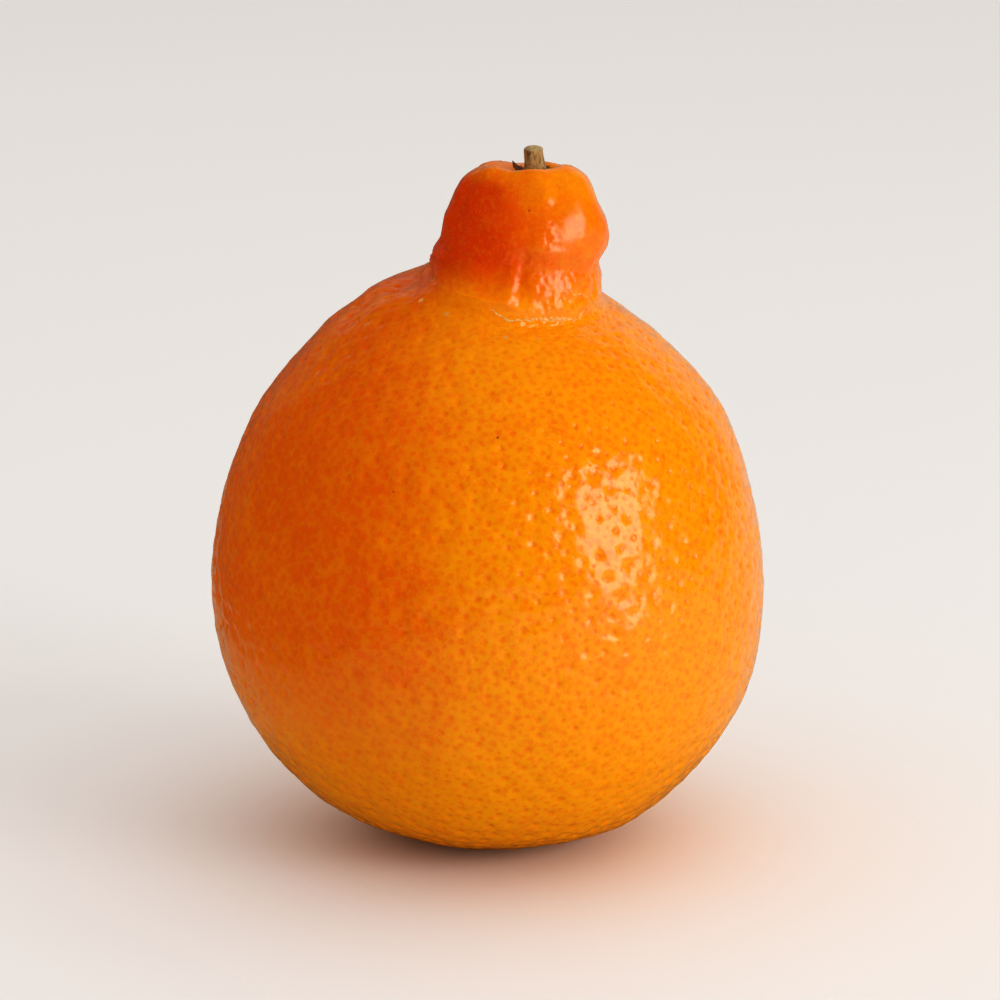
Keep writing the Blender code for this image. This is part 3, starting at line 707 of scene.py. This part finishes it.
peel = make_piece("peel", points, triangles.tolist())
pore_map = peel.data.uv_layers.new(name="pore")
pore_map.uv.foreach_set("vector", pore_uv.astype(np.float32).ravel())
skin_along = np.append(along, row_length)
skin_azimuth = np.append(azimuth, 0.0)
skin_height = read(skin_along, HEIGHT)
turned = np.degrees(skin_azimuth) % 360.0
for line_name, line in (("scar", SCAR_LINE), ("faint", FAINT_LINE)):
    line_turn, line_height, line_show = np.array(line).T
    store(peel.data, "above_" + line_name, skin_height - np.interp(turned, line_turn, line_height))
    store(peel.data, line_name + "_show", np.interp(turned, line_turn, line_show, 0.0, 0.0))
store(peel.data, "gland", gland)
store(peel.data, "tint", tint)
store(peel.data, "height", skin_height - FLAT_HEIGHT)
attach(peel, "root")
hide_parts("fruit")

# %% [markdown]
# ## Materials
#
# A material here is a small graph of nodes. A few helpers keep the wiring short. They
# add to the tree in hand, which is set again where each material starts.

# %% Node helpers
def new_material(name):
    """Start a material with a Principled surface and give back its tree and its shader."""
    material = bpy.data.materials.new(name)
    material.use_nodes = True
    return material, material.node_tree, material.node_tree.nodes["Principled BSDF"]


def fill(made, inputs):
    """Fill or link each input of a node, by its name or number."""
    for key, value in inputs.items():
        if isinstance(value, bpy.types.NodeSocket):
            tree.links.new(value, made.inputs[key])
        else:
            made.inputs[key].default_value = value
    return made


def node(kind, inputs=None, **settings):
    """Add a node to the tree, set its options, and fill its inputs."""
    made = tree.nodes.new("ShaderNode" + kind)
    for key, value in settings.items():
        setattr(made, key, value)
    return fill(made, inputs or {})


def mix(factor, first, second):
    """Mix two colours: 0 gives the first, 1 the second."""
    return node("Mix", {0: factor, 6: first, 7: second}, data_type="RGBA").outputs[2]


def ramp(value, low, high, to_low=0.0, to_high=1.0, smooth=True):
    """Carry a value from one range to another, held inside it."""
    kind = "SMOOTHSTEP" if smooth else "LINEAR"
    inputs = {0: value, 1: low, 2: high, 3: to_low, 4: to_high}
    return node("MapRange", inputs, interpolation_type=kind).outputs[0]


def maths(operation, first, second=0.0):
    """Join two numbers by one sum."""
    return node("Math", {0: first, 1: second}, operation=operation).outputs[0]


def product(first, *others):
    """Multiply numbers together, one after another."""
    for other in others:
        first = maths("MULTIPLY", first, other)
    return first


def noise(where, size, detail=2.0, rough=0.5):
    """Read a smooth random pattern whose lumps are about this size in millimetres."""
    inputs = {"Vector": where, "Scale": 1.0 / (size * MM), "Detail": detail, "Roughness": rough}
    return node("TexNoise", inputs).outputs[0]


def stored(name):
    """Read a number that the mesh keeps for each point."""
    return node("Attribute", attribute_name=name).outputs["Fac"]


def bump(height, rise, under=None):
    """Shade a surface as if it rose by the height times this many millimetres."""
    inputs = {"Height": height, "Distance": rise * MM, "Strength": 1.0}
    if under is not None:
        inputs["Normal"] = under
    return node("Bump", inputs).outputs[0]


# %% [markdown]
# ## The peel's material
#
# Under the wax, the colour lies in the glands: each is a soft, redder spot as wide as
# its dent. Between them the peel is a clear orange that drifts in slow patches and is
# redder towards the stem. On the left, away from the window, it is painted redder and
# darker as painted shade, and towards the bottom it is painted lighter and yellower,
# partly the blossom end's own tone and partly painted light bounced up from the floor.
# The gloss is a thin natural wax, so it is a plain dielectric with a low roughness that
# the fine grain breaks up. Light also travels a millimetre or more inside the peel,
# which subsurface scattering gives, so that no shadow on it is hard.

# %% Peel colours, as linear red, green and blue
# Painted shade: this orange, redder and darker, paints the left side, away from the window.
PAINTED_SHADE_ORANGE = (0.80, 0.138, 0.002, 1.0)
CLEAR_ORANGE = (0.88, 0.295, 0.002, 1.0)
# Partly painted floor bounce and partly the blossom end's own tone: this lighter orange paints the
# bottom, and also the pale freckles.
PALE_AND_FLOOR_BOUNCE_ORANGE = (0.90, 0.370, 0.003, 1.0)
WEB_ORANGE = (0.92, 0.390, 0.004, 1.0)
# The neck's own redder tone, which the blush also spreads as painted shade on the neck's left.
NECK_RED = (0.70, 0.053, 0.001, 1.0)
GLAND_RED = (0.86, 0.130, 0.001, 1.0)
CORK = (0.70, 0.35, 0.11, 1.0)
PALE_CORK = (0.86, 0.52, 0.19, 1.0)
DARK_CORK = (0.16, 0.045, 0.012, 1.0)

# %% What the peel's material reads, with the size of each noise in millimetres
peel_look, tree, shader = new_material("peel_wax")
place_on_peel = node("TexCoord").outputs["Object"]
across = node("SeparateXYZ", {0: place_on_peel}).outputs["X"]
pore_place = node("UVMap", uv_map="pore").outputs[0]
pore_radius = node("VectorMath", {0: pore_place}, operation="LENGTH").outputs["Value"]
gland_value, tint_value = stored("gland"), stored("tint")
peel_height = stored("height")
patches = noise(place_on_peel, 13.0, 3.0, 0.55)
freckles = noise(place_on_peel, 1.6, 3.0, 0.65)
grain = noise(place_on_peel, 0.42, 3.0, 0.72)
mottles = noise(place_on_peel, 3.0)

# %% The ground colour: painted shade, redder and darker at the left, away from the window; lighter and yellower towards the bottom, partly the blossom end's tone and partly painted floor bounce
# Each ramp says what it reads, where it starts and ends, and its value at each of these.
# Across the fruit they run in metres to the right, and up it in millimetres.
LEFT_TO_MIDDLE = (-0.018, 0.004)
NOISE_SPAN = (0.3, 0.7)

# Painted shade: the left, away from the window, turns redder and darker, with patches and mottles
# breaking its edge.
shade_side_and_patches = ramp(across, *LEFT_TO_MIDDLE)
shade_side_and_patches = maths("ADD", shade_side_and_patches, ramp(patches, *NOISE_SPAN, -0.16, 0.16))
shade_side_and_patches = maths("ADD", shade_side_and_patches, ramp(mottles, 0.32, 0.68, -0.12, 0.20))
shade_side_and_patches = maths("MINIMUM", maths("MAXIMUM", shade_side_and_patches, 0.0), 1.0)
colour = mix(shade_side_and_patches, PAINTED_SHADE_ORANGE, CLEAR_ORANGE)
# Painted floor bounce, partly the blossom end's own tone: lighter and yellower towards the bottom.
colour = mix(ramp(peel_height, 42.0, 8.0, 0.0, 0.80), colour, PALE_AND_FLOOR_BOUNCE_ORANGE)

# %% The neck's blush: partly the neck's own redder tone and partly painted shade, so it starts lower and is stronger at the left, away from the window, and fades at the lit right and the top
blush_and_shade_height = maths("ADD", peel_height, ramp(across, -0.010, -0.003, 2.5, -0.4))
lit_right_top = product(ramp(peel_height, 92.0, 98.0), ramp(across, 0.001, 0.008, 0.0, 0.75))
top_fade = maths("MAXIMUM", lit_right_top, ramp(peel_height, 96.2, 98.2, 0.0, 0.62))
blush_and_shade = product(ramp(blush_and_shade_height, 81.0, 87.0), maths("SUBTRACT", 1.0, top_fade),
                ramp(across, -0.001, 0.014, 1.0, 0.38))
colour = mix(blush_and_shade, colour, NECK_RED)

# %% Freckles and grain, both paler and redder than the ground
calm = product(ramp(across, *LEFT_TO_MIDDLE, 0.45, 1.0), ramp(blush_and_shade, 0.0, 0.9, 1.0, 0.55))
pale_freckles = product(ramp(freckles, 0.50, 0.72, 0.0, 0.30), calm)
pale_grain = product(ramp(grain, 0.50, 0.68, 0.0, 0.34), calm)
colour = mix(pale_freckles, colour, PALE_AND_FLOOR_BOUNCE_ORANGE)
colour = mix(ramp(freckles, 0.50, 0.28, 0.0, 0.24), colour, GLAND_RED)
colour = mix(ramp(grain, 0.50, 0.32, 0.0, 0.34), colour, GLAND_RED)
colour = mix(pale_grain, colour, WEB_ORANGE)

# %% The pale web between pores, and the red spot of each gland, with uneven edges
freckled = ramp(freckles, *NOISE_SPAN, -0.22, 0.22, smooth=False)
grained = ramp(grain, *NOISE_SPAN, -0.12, 0.12, smooth=False)
uneven_radius = maths("ADD", maths("ADD", pore_radius, freckled), grained)
web = product(ramp(uneven_radius, 0.80, 1.05), ramp(peel_height, 76.0, 83.0, 0.24, 0.08), calm)
colour = mix(web, colour, WEB_ORANGE)
spot = product(ramp(uneven_radius, 0.15, 1.00, 1.0, 0.0), tint_value,
               ramp(peel_height, 66.0, 82.0, 0.58, 0.32),
               ramp(across, *LEFT_TO_MIDDLE, 0.80, 1.0), ramp(across, 0.000, 0.026, 1.0, 0.62))
colour = mix(spot, colour, GLAND_RED)

# %% [markdown]
# Small brown specks are healed scratches. Each is a place on the peel and a radius: the
# material measures the distance to it, after the noise has made the distance uneven.

# %% Specks: azimuth in degrees, way along the outline and radius in mm, and colour
SPECKS = (
    (220.6, 114.36, 0.40, PALE_CORK),
    (242.1, 113.48, 0.36, CORK),
    (274.1, 110.24, 0.30, CORK),
    (288.3, 109.90, 0.26, CORK),
    (279.7, 114.85, 0.40, PALE_CORK),
    (271.7, 92.06, 0.17, DARK_CORK),
    (248.5, 83.69, 0.16, DARK_CORK),
    (272.9, 129.54, 0.17, DARK_CORK),
    (346.9, 49.37, 0.75, DARK_CORK),
    (61.0, 97.0, 0.34, CORK),
    (118.0, 66.0, 0.30, DARK_CORK),
    (152.0, 104.0, 0.40, CORK),
)
SPECK_CORE, SPECK_SHARE = 0.7, 0.9


def speck(colour, azimuth, along, radius, tint):
    """Colour the peel within an uneven distance of one place."""
    angle = np.radians(np.array([azimuth]))
    along = np.array([along])
    middle = (place(along, angle, relief(along, angle))[0] + shift) * MM
    reads = {0: place_on_peel, 1: middle}
    distance = node("VectorMath", reads, operation="DISTANCE").outputs["Value"]
    uneven = product(distance, ramp(grain, *NOISE_SPAN, 0.6, 1.6))
    share = ramp(uneven, SPECK_CORE * radius * MM, radius * MM, SPECK_SHARE, 0.0)
    return mix(share, colour, tint)


for speck_azimuth, speck_along, speck_radius, speck_tint in SPECKS:
    colour = speck(colour, speck_azimuth, speck_along, speck_radius, speck_tint)
print(len(SPECKS), "specks")

# %% The healed lines: name, wander and half width in mm, and share of the colour
HEALED_LINES = (("scar", 0.32, 0.24, 0.95), ("faint", 0.40, 0.17, 0.80))
LINE_CORE = 0.2


def healed_line(name, wander, half_width):
    """Give 1 on a stored line and 0 beside it: the noise makes it wander and break up."""
    bend = ramp(freckles, *NOISE_SPAN, -wander, wander, smooth=False)
    off = maths("ABSOLUTE", maths("ADD", stored("above_" + name), bend))
    on_line = ramp(off, LINE_CORE * half_width, half_width, 1.0, 0.0)
    show = product(stored(name + "_show"), ramp(grain, 0.30, 0.50))
    return product(on_line, show)


healed = 0.0
for line_name, wander, half_width, share in HEALED_LINES:
    on_line = healed_line(line_name, wander, half_width)
    colour = mix(product(on_line, share), colour, PALE_CORK)
    healed = maths("MAXIMUM", on_line, healed)
print(len(tree.nodes), "nodes in the peel's colour")

# %% The peel's fine shape and gloss
HOLLOW_DEPTH, CORK_RISE, GRAIN_RISE = 0.075, 0.12, 0.017
WAX_IOR = 1.48
GLOW_SHARE, GLOW_REACH, GLOW_RADII = 0.75, 1.5, (1.0, 0.45, 0.10)

hollow = product(ramp(uneven_radius, 0.00, 0.98, -1.0, 0.0), gland_value,
                 ramp(across, -0.030, -0.006, 0.40, 1.0), ramp(across, 0.022, 0.036, 1.0, 0.50),
                 ramp(peel_height, 80.0, 84.0, 1.0, 0.45))
dents = bump(hollow, HOLLOW_DEPTH)
cork = bump(healed, CORK_RISE, dents)
shader.subsurface_method = "BURLEY"
fill(shader, {"Base Color": colour, "Normal": bump(grain, GRAIN_RISE, cork), "IOR": WAX_IOR,
              "Roughness": ramp(grain, *NOISE_SPAN, 0.09, 0.16), "Subsurface Weight": GLOW_SHARE,
              "Subsurface Radius": GLOW_RADII, "Subsurface Scale": GLOW_REACH * MM})
peel.data.materials.append(peel_look)
print(len(tree.nodes), "nodes in the peel's material")

# %% [markdown]
# ## The button and the stem
#
# The stem pit holds the dried calyx, a woody button with small pointed lobes that once
# held the flower, and the stub of the stem that was cut off above it. Both are turned
# shapes, so each is a stack of rings from the top down, closed by a point at each end.
# They are drawn a hair lower than the solids, so that no gap shows round their feet.

# %% Join a stack of rings
def wrapped(rings, high, low):
    """Join rings from the top down, and close the stack with a high and a low point."""
    count, sides = rings.shape[:2]
    here = np.arange(sides)
    after = np.roll(here, -1)
    row = np.arange(count - 1)[:, None] * sides
    quads = np.stack([row + here, row + sides + here, row + sides + after, row + after], axis=-1)
    top = count * sides
    faces = quads.reshape(-1, 4).tolist()
    faces += np.column_stack([np.full(sides, top), here, after]).tolist()
    last_ring = top - sides
    bottom = np.full(sides, top + 1)
    faces += np.column_stack([bottom, last_ring + after, last_ring + here]).tolist()
    return np.vstack([rings.reshape(-1, 3), [(0.0, 0.0, high), (0.0, 0.0, low)]]), faces


def rings_of(radius, azimuth, height):
    """Turn rings: x and y are the radius times the cosine and sine of the azimuth."""
    places = radius * np.cos(azimuth), radius * np.sin(azimuth), height
    return np.stack(np.broadcast_arrays(*places), axis=-1)


def tilted(places, degrees):
    """Turn places about the y axis: the top moves to the right for a positive angle."""
    angle = math.radians(degrees)
    x, y, z = places.T
    return np.stack([x * math.cos(angle) + z * math.sin(angle), y,
                     z * math.cos(angle) - x * math.sin(angle)], axis=-1)


# %% The pit's shape
PIT_READ_LENGTH = 6.2

pit_bottom = rows[-1]
pit_centre = np.array([pit_bottom[SLIDE_X], pit_bottom[SLIDE_Y], pit_bottom[HEIGHT] - FLAT_HEIGHT])
pit_centre = pit_centre + shift


def pit_rise(radius):
    """How far the peel has risen at this distance from the middle of the pit."""
    near = rows[row_along > row_length - PIT_READ_LENGTH][::-1]
    return np.interp(radius, near[:, RADIUS], near[:, HEIGHT] - pit_bottom[HEIGHT])


def waves_on(grid, lift, length, seed):
    """Read waves of this lift at each place of a grid."""
    return lift * waves(grid.reshape(-1, 3), length, seed).reshape(grid.shape[:2])


print("the pit is at", pit_centre.round(2))

# %% The calyx
CALYX_THICKNESS, CALYX_TIP_THICKNESS, THINNING_PART = 0.6, 0.28, (0.45, 1.0)
CALYX_GAP, CALYX_SINK = 0.32, 0.20
BUTTON_RADIUS = 2.0
CALYX_SIDES, CALYX_RINGS, FIRST_RING = 240, 26, 0.04

# Its lobes: azimuth in degrees, how far each reaches out and how far it rises
LOBES = (
    (154.0, 1.55, 1.00),
    (250.0, 0.9, 0.2),
    (333.0, 1.0, 0.9),
    (49.0, 1.1, 0.7),
    (101.0, 0.95, 1.0),
)
LOBE_SPREAD, LOBE_START, LOBE_POINT, LOBE_CURL = 38.0, 0.75, 1.2, 1.5

# Its uneven edge and its crust: lift, length and seed of their waves
EDGE_WAVES, EDGE_RADIUS = ((0.09, 0.55, 31),), 2.6
CRUST_WAVES, CRUST_PART = (0.07, 0.8, 32), (0.3, 0.6)

calyx_azimuth = np.arange(CALYX_SIDES) * TURN / CALYX_SIDES
reach = np.zeros(CALYX_SIDES)
rise = np.zeros(CALYX_SIDES)
for angle, lobe_reach, lobe_rise in LOBES:
    off = np.abs(np.degrees(nearest_turn(np.radians(angle) - calyx_azimuth))) / LOBE_SPREAD
    lobe = np.clip(1.0 - off, 0.0, 1.0)
    reach += lobe_reach * lobe ** LOBE_POINT
    rise += lobe_rise * lobe
reach = add_waves(reach, rings_of(EDGE_RADIUS, calyx_azimuth, 0.0), EDGE_WAVES)

part = np.linspace(FIRST_RING, 1.0, CALYX_RINGS)[:, None]
calyx_radius = part * (BUTTON_RADIUS + reach)
lobe_start = LOBE_START * BUTTON_RADIUS
outer = np.clip((calyx_radius - lobe_start) / (BUTTON_RADIUS - lobe_start + reach), 0.0, 1.0)
under = pit_rise(calyx_radius) + CALYX_GAP - CALYX_SINK + rise * outer ** LOBE_CURL
thinning = (CALYX_TIP_THICKNESS - CALYX_THICKNESS) * smooth_step(part, *THINNING_PART)
thickness = CALYX_THICKNESS + thinning
crust = waves_on(rings_of(calyx_radius, calyx_azimuth, 0.0), *CRUST_WAVES)
crust = crust * smooth_step(part, *CRUST_PART)
over = rings_of(calyx_radius, calyx_azimuth, under + thickness + crust)
below = rings_of(calyx_radius, calyx_azimuth, under)[::-1]
low = CALYX_GAP - CALYX_SINK
calyx_places, calyx_faces = wrapped(np.concatenate([over, below]), low + CALYX_THICKNESS, low)
calyx_places = tilted(calyx_places, pit_bottom[TIP_X]) + pit_centre
calyx_piece = make_piece("calyx_star", calyx_places, calyx_faces)
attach(calyx_piece, "root")
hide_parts("calyx")
print("the calyx reaches", (BUTTON_RADIUS + reach).max().round(2), "mm")

# %% The stem's outline, from the middle of its cut down to its foot
STEM_RADIUS, STEM_HEIGHT, STEM_CORNER = 1.30, 2.9, 0.36
STEM_FLARE, STEM_FLARE_HEIGHT = 0.30, 1.6
STEM_SINK, STEM_LIFT, STEM_LEAN = 0.75, 1.75, 5.0
STEM_SIDES = 180
CUT_RINGS, CORNER_RINGS, SIDE_RINGS, FIRST_CUT_RING = 14, 9, 60, 0.05

stem_azimuth = np.arange(STEM_SIDES) * TURN / STEM_SIDES
cut_part = np.linspace(FIRST_CUT_RING, 1.0, CUT_RINGS)
bend = np.linspace(0.0, 0.5 * math.pi, CORNER_RINGS)[1:]
down = np.linspace(STEM_HEIGHT - STEM_CORNER, -STEM_SINK, SIDE_RINGS)[1:]
core = STEM_RADIUS - STEM_CORNER
flare = STEM_FLARE * np.clip(1.0 - down / STEM_FLARE_HEIGHT, 0.0, 1.0) ** 2
corner_radius = core + STEM_CORNER * np.sin(bend)
corner_height = STEM_HEIGHT - STEM_CORNER * (1.0 - np.cos(bend))
stem_radius = np.concatenate([cut_part * core, corner_radius, STEM_RADIUS + flare])[:, None]
stem_height = np.concatenate([np.full(CUT_RINGS, STEM_HEIGHT), corner_height, down])[:, None]
print("the stem has", len(stem_radius), "rings")

# %% The stem's bark and its cut
CUT_SLOPE, CUT_AZIMUTH = 0.16, 1.9
CUT_HOLLOW, CUT_HOLLOW_RADIUS, CUT_KNOTS = 0.10, 0.3, 0.5
SIDE_START = 0.9

# Bark in streaks and in knots: lift, length and seed of their waves
STREAK_WAVES, STREAK_SQUEEZE = (0.055, 0.75, 41), 0.22
KNOT_WAVES, KNOT_STRETCH = (0.06, 1.1, 42), (1.0, 1.0, 3.0)

on_side = smooth_step(stem_radius, SIDE_START * core, STEM_RADIUS)
spots = rings_of(1.0, stem_azimuth, STREAK_SQUEEZE * stem_height)
bark_knots = waves_on(spots * KNOT_STRETCH, *KNOT_WAVES)
stem_radius = stem_radius + on_side * (waves_on(spots, *STREAK_WAVES) + bark_knots)
cut_slope = CUT_SLOPE * stem_radius * np.cos(stem_azimuth - CUT_AZIMUTH)
cut_tip = cut_slope * np.clip(stem_height / STEM_HEIGHT, 0.0, 1.0)
cut_hollow = CUT_HOLLOW * bell(stem_radius, 0.0, CUT_HOLLOW_RADIUS) * (1.0 - on_side)
cut_rough = CUT_KNOTS * bark_knots * (1.0 - on_side)
stem_rings = rings_of(stem_radius, stem_azimuth, stem_height + cut_tip - cut_hollow + cut_rough)
stem_places, stem_faces = wrapped(stem_rings, STEM_HEIGHT - CUT_HOLLOW, -STEM_SINK)
stem_foot = pit_centre + (0.0, 0.0, STEM_LIFT)
stem_places = tilted(stem_places, -STEM_LEAN) + stem_foot
stem_piece = make_piece("stem_stub", stem_places, stem_faces)
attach(stem_piece, "root")
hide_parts("stem")
print("this stem ends at", stem_places[:, 2].max().round(2), "mm")

# %% [markdown]
# ## Bark
#
# The stub is dry wood in thin bark: khaki, with dark cracks that run up it and a pale
# cut end. Stretching the noise along the stem turns its lumps into streaks. The calyx is
# the same dry tissue, only darker, with pale crumbs where it broke.

# %% Stem and calyx materials
KHAKI = (0.47, 0.30, 0.115, 1.0)
PALE_WOOD = (0.60, 0.47, 0.24, 1.0)
CRACK = (0.17, 0.085, 0.030, 1.0)
DRY_BROWN = (0.20, 0.062, 0.018, 1.0)
CRUMB = (0.46, 0.26, 0.12, 1.0)

STREAK_SIZE, BLOTCH_SIZE, CRUMB_SIZE, ALONG_STRETCH = 0.55, 1.1, 0.6, (1.0, 1.0, 0.28)
STREAK_RISE, CRUMB_RISE = 0.12, 0.15
STEM_ROUGHNESS, CALYX_ROUGHNESS = 0.75, 0.8

stem_look, tree, shader = new_material("stem_bark_look")
where = node("TexCoord").outputs["Object"]
along_bark = node("Mapping", {0: where, 3: ALONG_STRETCH}).outputs[0]
streaks = noise(along_bark, STREAK_SIZE, 4.0, 0.65)
blotches = noise(where, BLOTCH_SIZE, 3.0, 0.6)
facing = node("NewGeometry").outputs["Normal"]
facing_up = node("SeparateXYZ", {0: facing}).outputs["Z"]
bark = mix(ramp(streaks, 0.38, 0.56), CRACK, KHAKI)
bark = mix(ramp(blotches, 0.52, 0.68, 0.0, 0.55), bark, PALE_WOOD)
bark = mix(ramp(facing_up, 0.5, 0.9, 0.0, 0.4), bark, PALE_WOOD)
fill(shader, {"Base Color": bark, "Roughness": STEM_ROUGHNESS,
              "Normal": bump(streaks, STREAK_RISE)})
stem_piece.data.materials.append(stem_look)

calyx_look, tree, shader = new_material("calyx_bark_look")
where = node("TexCoord").outputs["Object"]
crumbs = noise(where, CRUMB_SIZE, 4.0, 0.65)
dry = mix(ramp(crumbs, 0.54, 0.66), DRY_BROWN, CRUMB)
fill(shader, {"Base Color": dry, "Roughness": CALYX_ROUGHNESS,
              "Normal": bump(crumbs, CRUMB_RISE)})
calyx_piece.data.materials.append(calyx_look)
print("made", stem_look.name, "and", calyx_look.name)

# %% [markdown]
# ## The studio
#
# One large soft window stands to the right and a little in front, as in many kitchen
# photographs, with a faint second one behind, a pale floor, and dim, even light from
# everywhere else. The wax mirrors its surroundings, so what it mirrors is set apart
# from what lights it. In reflections the floor looks darker and warmer near the fruit,
# and the room is dim, as if it held dark furniture, but for what is behind at the right.

# %% The floor, which the fruit's gloss mirrors as if it were a darker, warmer table
# Its ramps run in metres from the middle of the fruit, and to the right of it
FLOOR_SIZE = 6.0
FLOOR_ROUGHNESS = 0.7
FLOOR_PALE = (0.92, 0.92, 0.92, 1.0)
MIRRORED_NEAR = (0.26, 0.21, 0.14, 1.0)
MIRRORED_SIDE = (0.50, 0.42, 0.31, 1.0)
MIRRORED_LEFT = (0.34, 0.13, 0.05, 1.0)

bpy.ops.mesh.primitive_plane_add(size=FLOOR_SIZE, location=(0.0, 0.0, 0.0))
floor = bpy.context.object
floor.name = "floor"
floor_look, tree, shader = new_material("pale_floor")
floor_place = node("TexCoord").outputs["Object"]
from_fruit = node("VectorMath", {0: floor_place}, operation="LENGTH").outputs["Value"]
to_right = node("SeparateXYZ", {0: floor_place}).outputs["X"]
table = mix(ramp(from_fruit, 0.038, 0.058), MIRRORED_NEAR, MIRRORED_SIDE)
table = mix(ramp(to_right, 0.02, 0.10, 0.0, 0.55), table, FLOOR_PALE)
table = mix(ramp(to_right, -0.095, -0.125), table, MIRRORED_LEFT)
mirrored = node("LightPath").outputs["Is Glossy Ray"]
fill(shader, {"Base Color": mix(mirrored, FLOOR_PALE, table), "Roughness": FLOOR_ROUGHNESS})
floor.data.materials.append(floor_look)
print("the floor is", FLOOR_SIZE, "m across")

# %% The camera
EQUATOR = -FLAT_HEIGHT * MM
CAMERA_RISE = math.radians(15.0)
CAMERA_DISTANCE = 0.560
PIXELS_PER_MM = 6.9
IMAGE_SIZE = 1000
AIM = Vector((1.8 * MM, 3.3 * MM, EQUATOR + 12.5 * MM))

camera_data = bpy.data.cameras.new("camera")
camera_data.sensor_width = 36.0
camera_data.lens = PIXELS_PER_MM * CAMERA_DISTANCE / MM * camera_data.sensor_width / IMAGE_SIZE
camera = add_object("camera", camera_data)
out = Vector((0.0, -math.cos(CAMERA_RISE), math.sin(CAMERA_RISE)))
camera.location = Vector((0.0, 0.0, EQUATOR)) + CAMERA_DISTANCE * out
camera.rotation_euler = (AIM - camera.location).to_track_quat("-Z", "Y").to_euler()
bpy.context.scene.camera = camera
print("the lens is", round(camera_data.lens, 1), "mm")

# %% The window, and the faint one behind
# Azimuth and rise in degrees, distance and size in metres, and radiance. The azimuth
# starts in front and grows towards the right.
LIGHTS = (
    ("window", 57.0, 14.0, 1.2, (0.66, 0.62), 3.40),
    ("back_window", 195.0, 28.0, 0.90, (0.60, 0.08), 0.30),
)


def soft_light(name, azimuth, rise, distance, size, radiance):
    """Hang a flat light that faces the fruit; its power is radiance times area times pi."""
    data = bpy.data.lights.new(name, "AREA")
    data.shape = "RECTANGLE"
    data.size, data.size_y = size
    data.energy = radiance * math.pi * size[0] * size[1]
    light = add_object(name, data)
    azimuth, rise = math.radians(azimuth), math.radians(rise)
    level = math.cos(rise)
    way = Vector((math.sin(azimuth) * level, -math.cos(azimuth) * level, math.sin(rise)))
    light.location = Vector((0.0, 0.0, EQUATOR)) + distance * way
    light.rotation_euler = (-way).to_track_quat("-Z", "Y").to_euler()
    print(name, "gives", round(data.energy, 2), "W")


for light in LIGHTS:
    soft_light(*light)

# %% The room
# The room's light grows from the skirting to the ceiling, and from left to right. The
# ramps read a direction: X is how far it points right and Y how far back, from -1 to 1.
SKIRTING = (0.385, 0.360, 0.332, 1.0)
CEILING = (0.80, 0.78, 0.76, 1.0)
REFLECTION_SHARE = 0.05

world = bpy.data.worlds.new("room")
world.use_nodes = True
tree = world.node_tree
way = node("SeparateXYZ", {0: node("TexCoord").outputs["Generated"]})
up = maths("MAXIMUM", way.outputs["Z"], 0.0)
glow = mix(product(up, up), SKIRTING, CEILING)
side_light = ramp(way.outputs["X"], -0.6, 0.9, 0.93, 1.25)
glossy = node("LightPath").outputs["Is Glossy Ray"]
behind = ramp(way.outputs["X"], -0.25, 0.30, 0.32, 0.90)
behind = product(behind, ramp(way.outputs["Y"], 0.35, 0.85))
missing = maths("SUBTRACT", 1.0, maths("MAXIMUM", behind, REFLECTION_SHARE))
dimmed = maths("SUBTRACT", 1.0, product(glossy, missing))
fill(tree.nodes["Background"], {"Color": glow, "Strength": product(side_light, dimmed)})
bpy.context.scene.world = world
bpy.context.scene.view_settings.view_transform = "Standard"
bpy.context.scene.view_settings.look = "High Contrast"
print(len(tree.nodes), "nodes in the room's light")
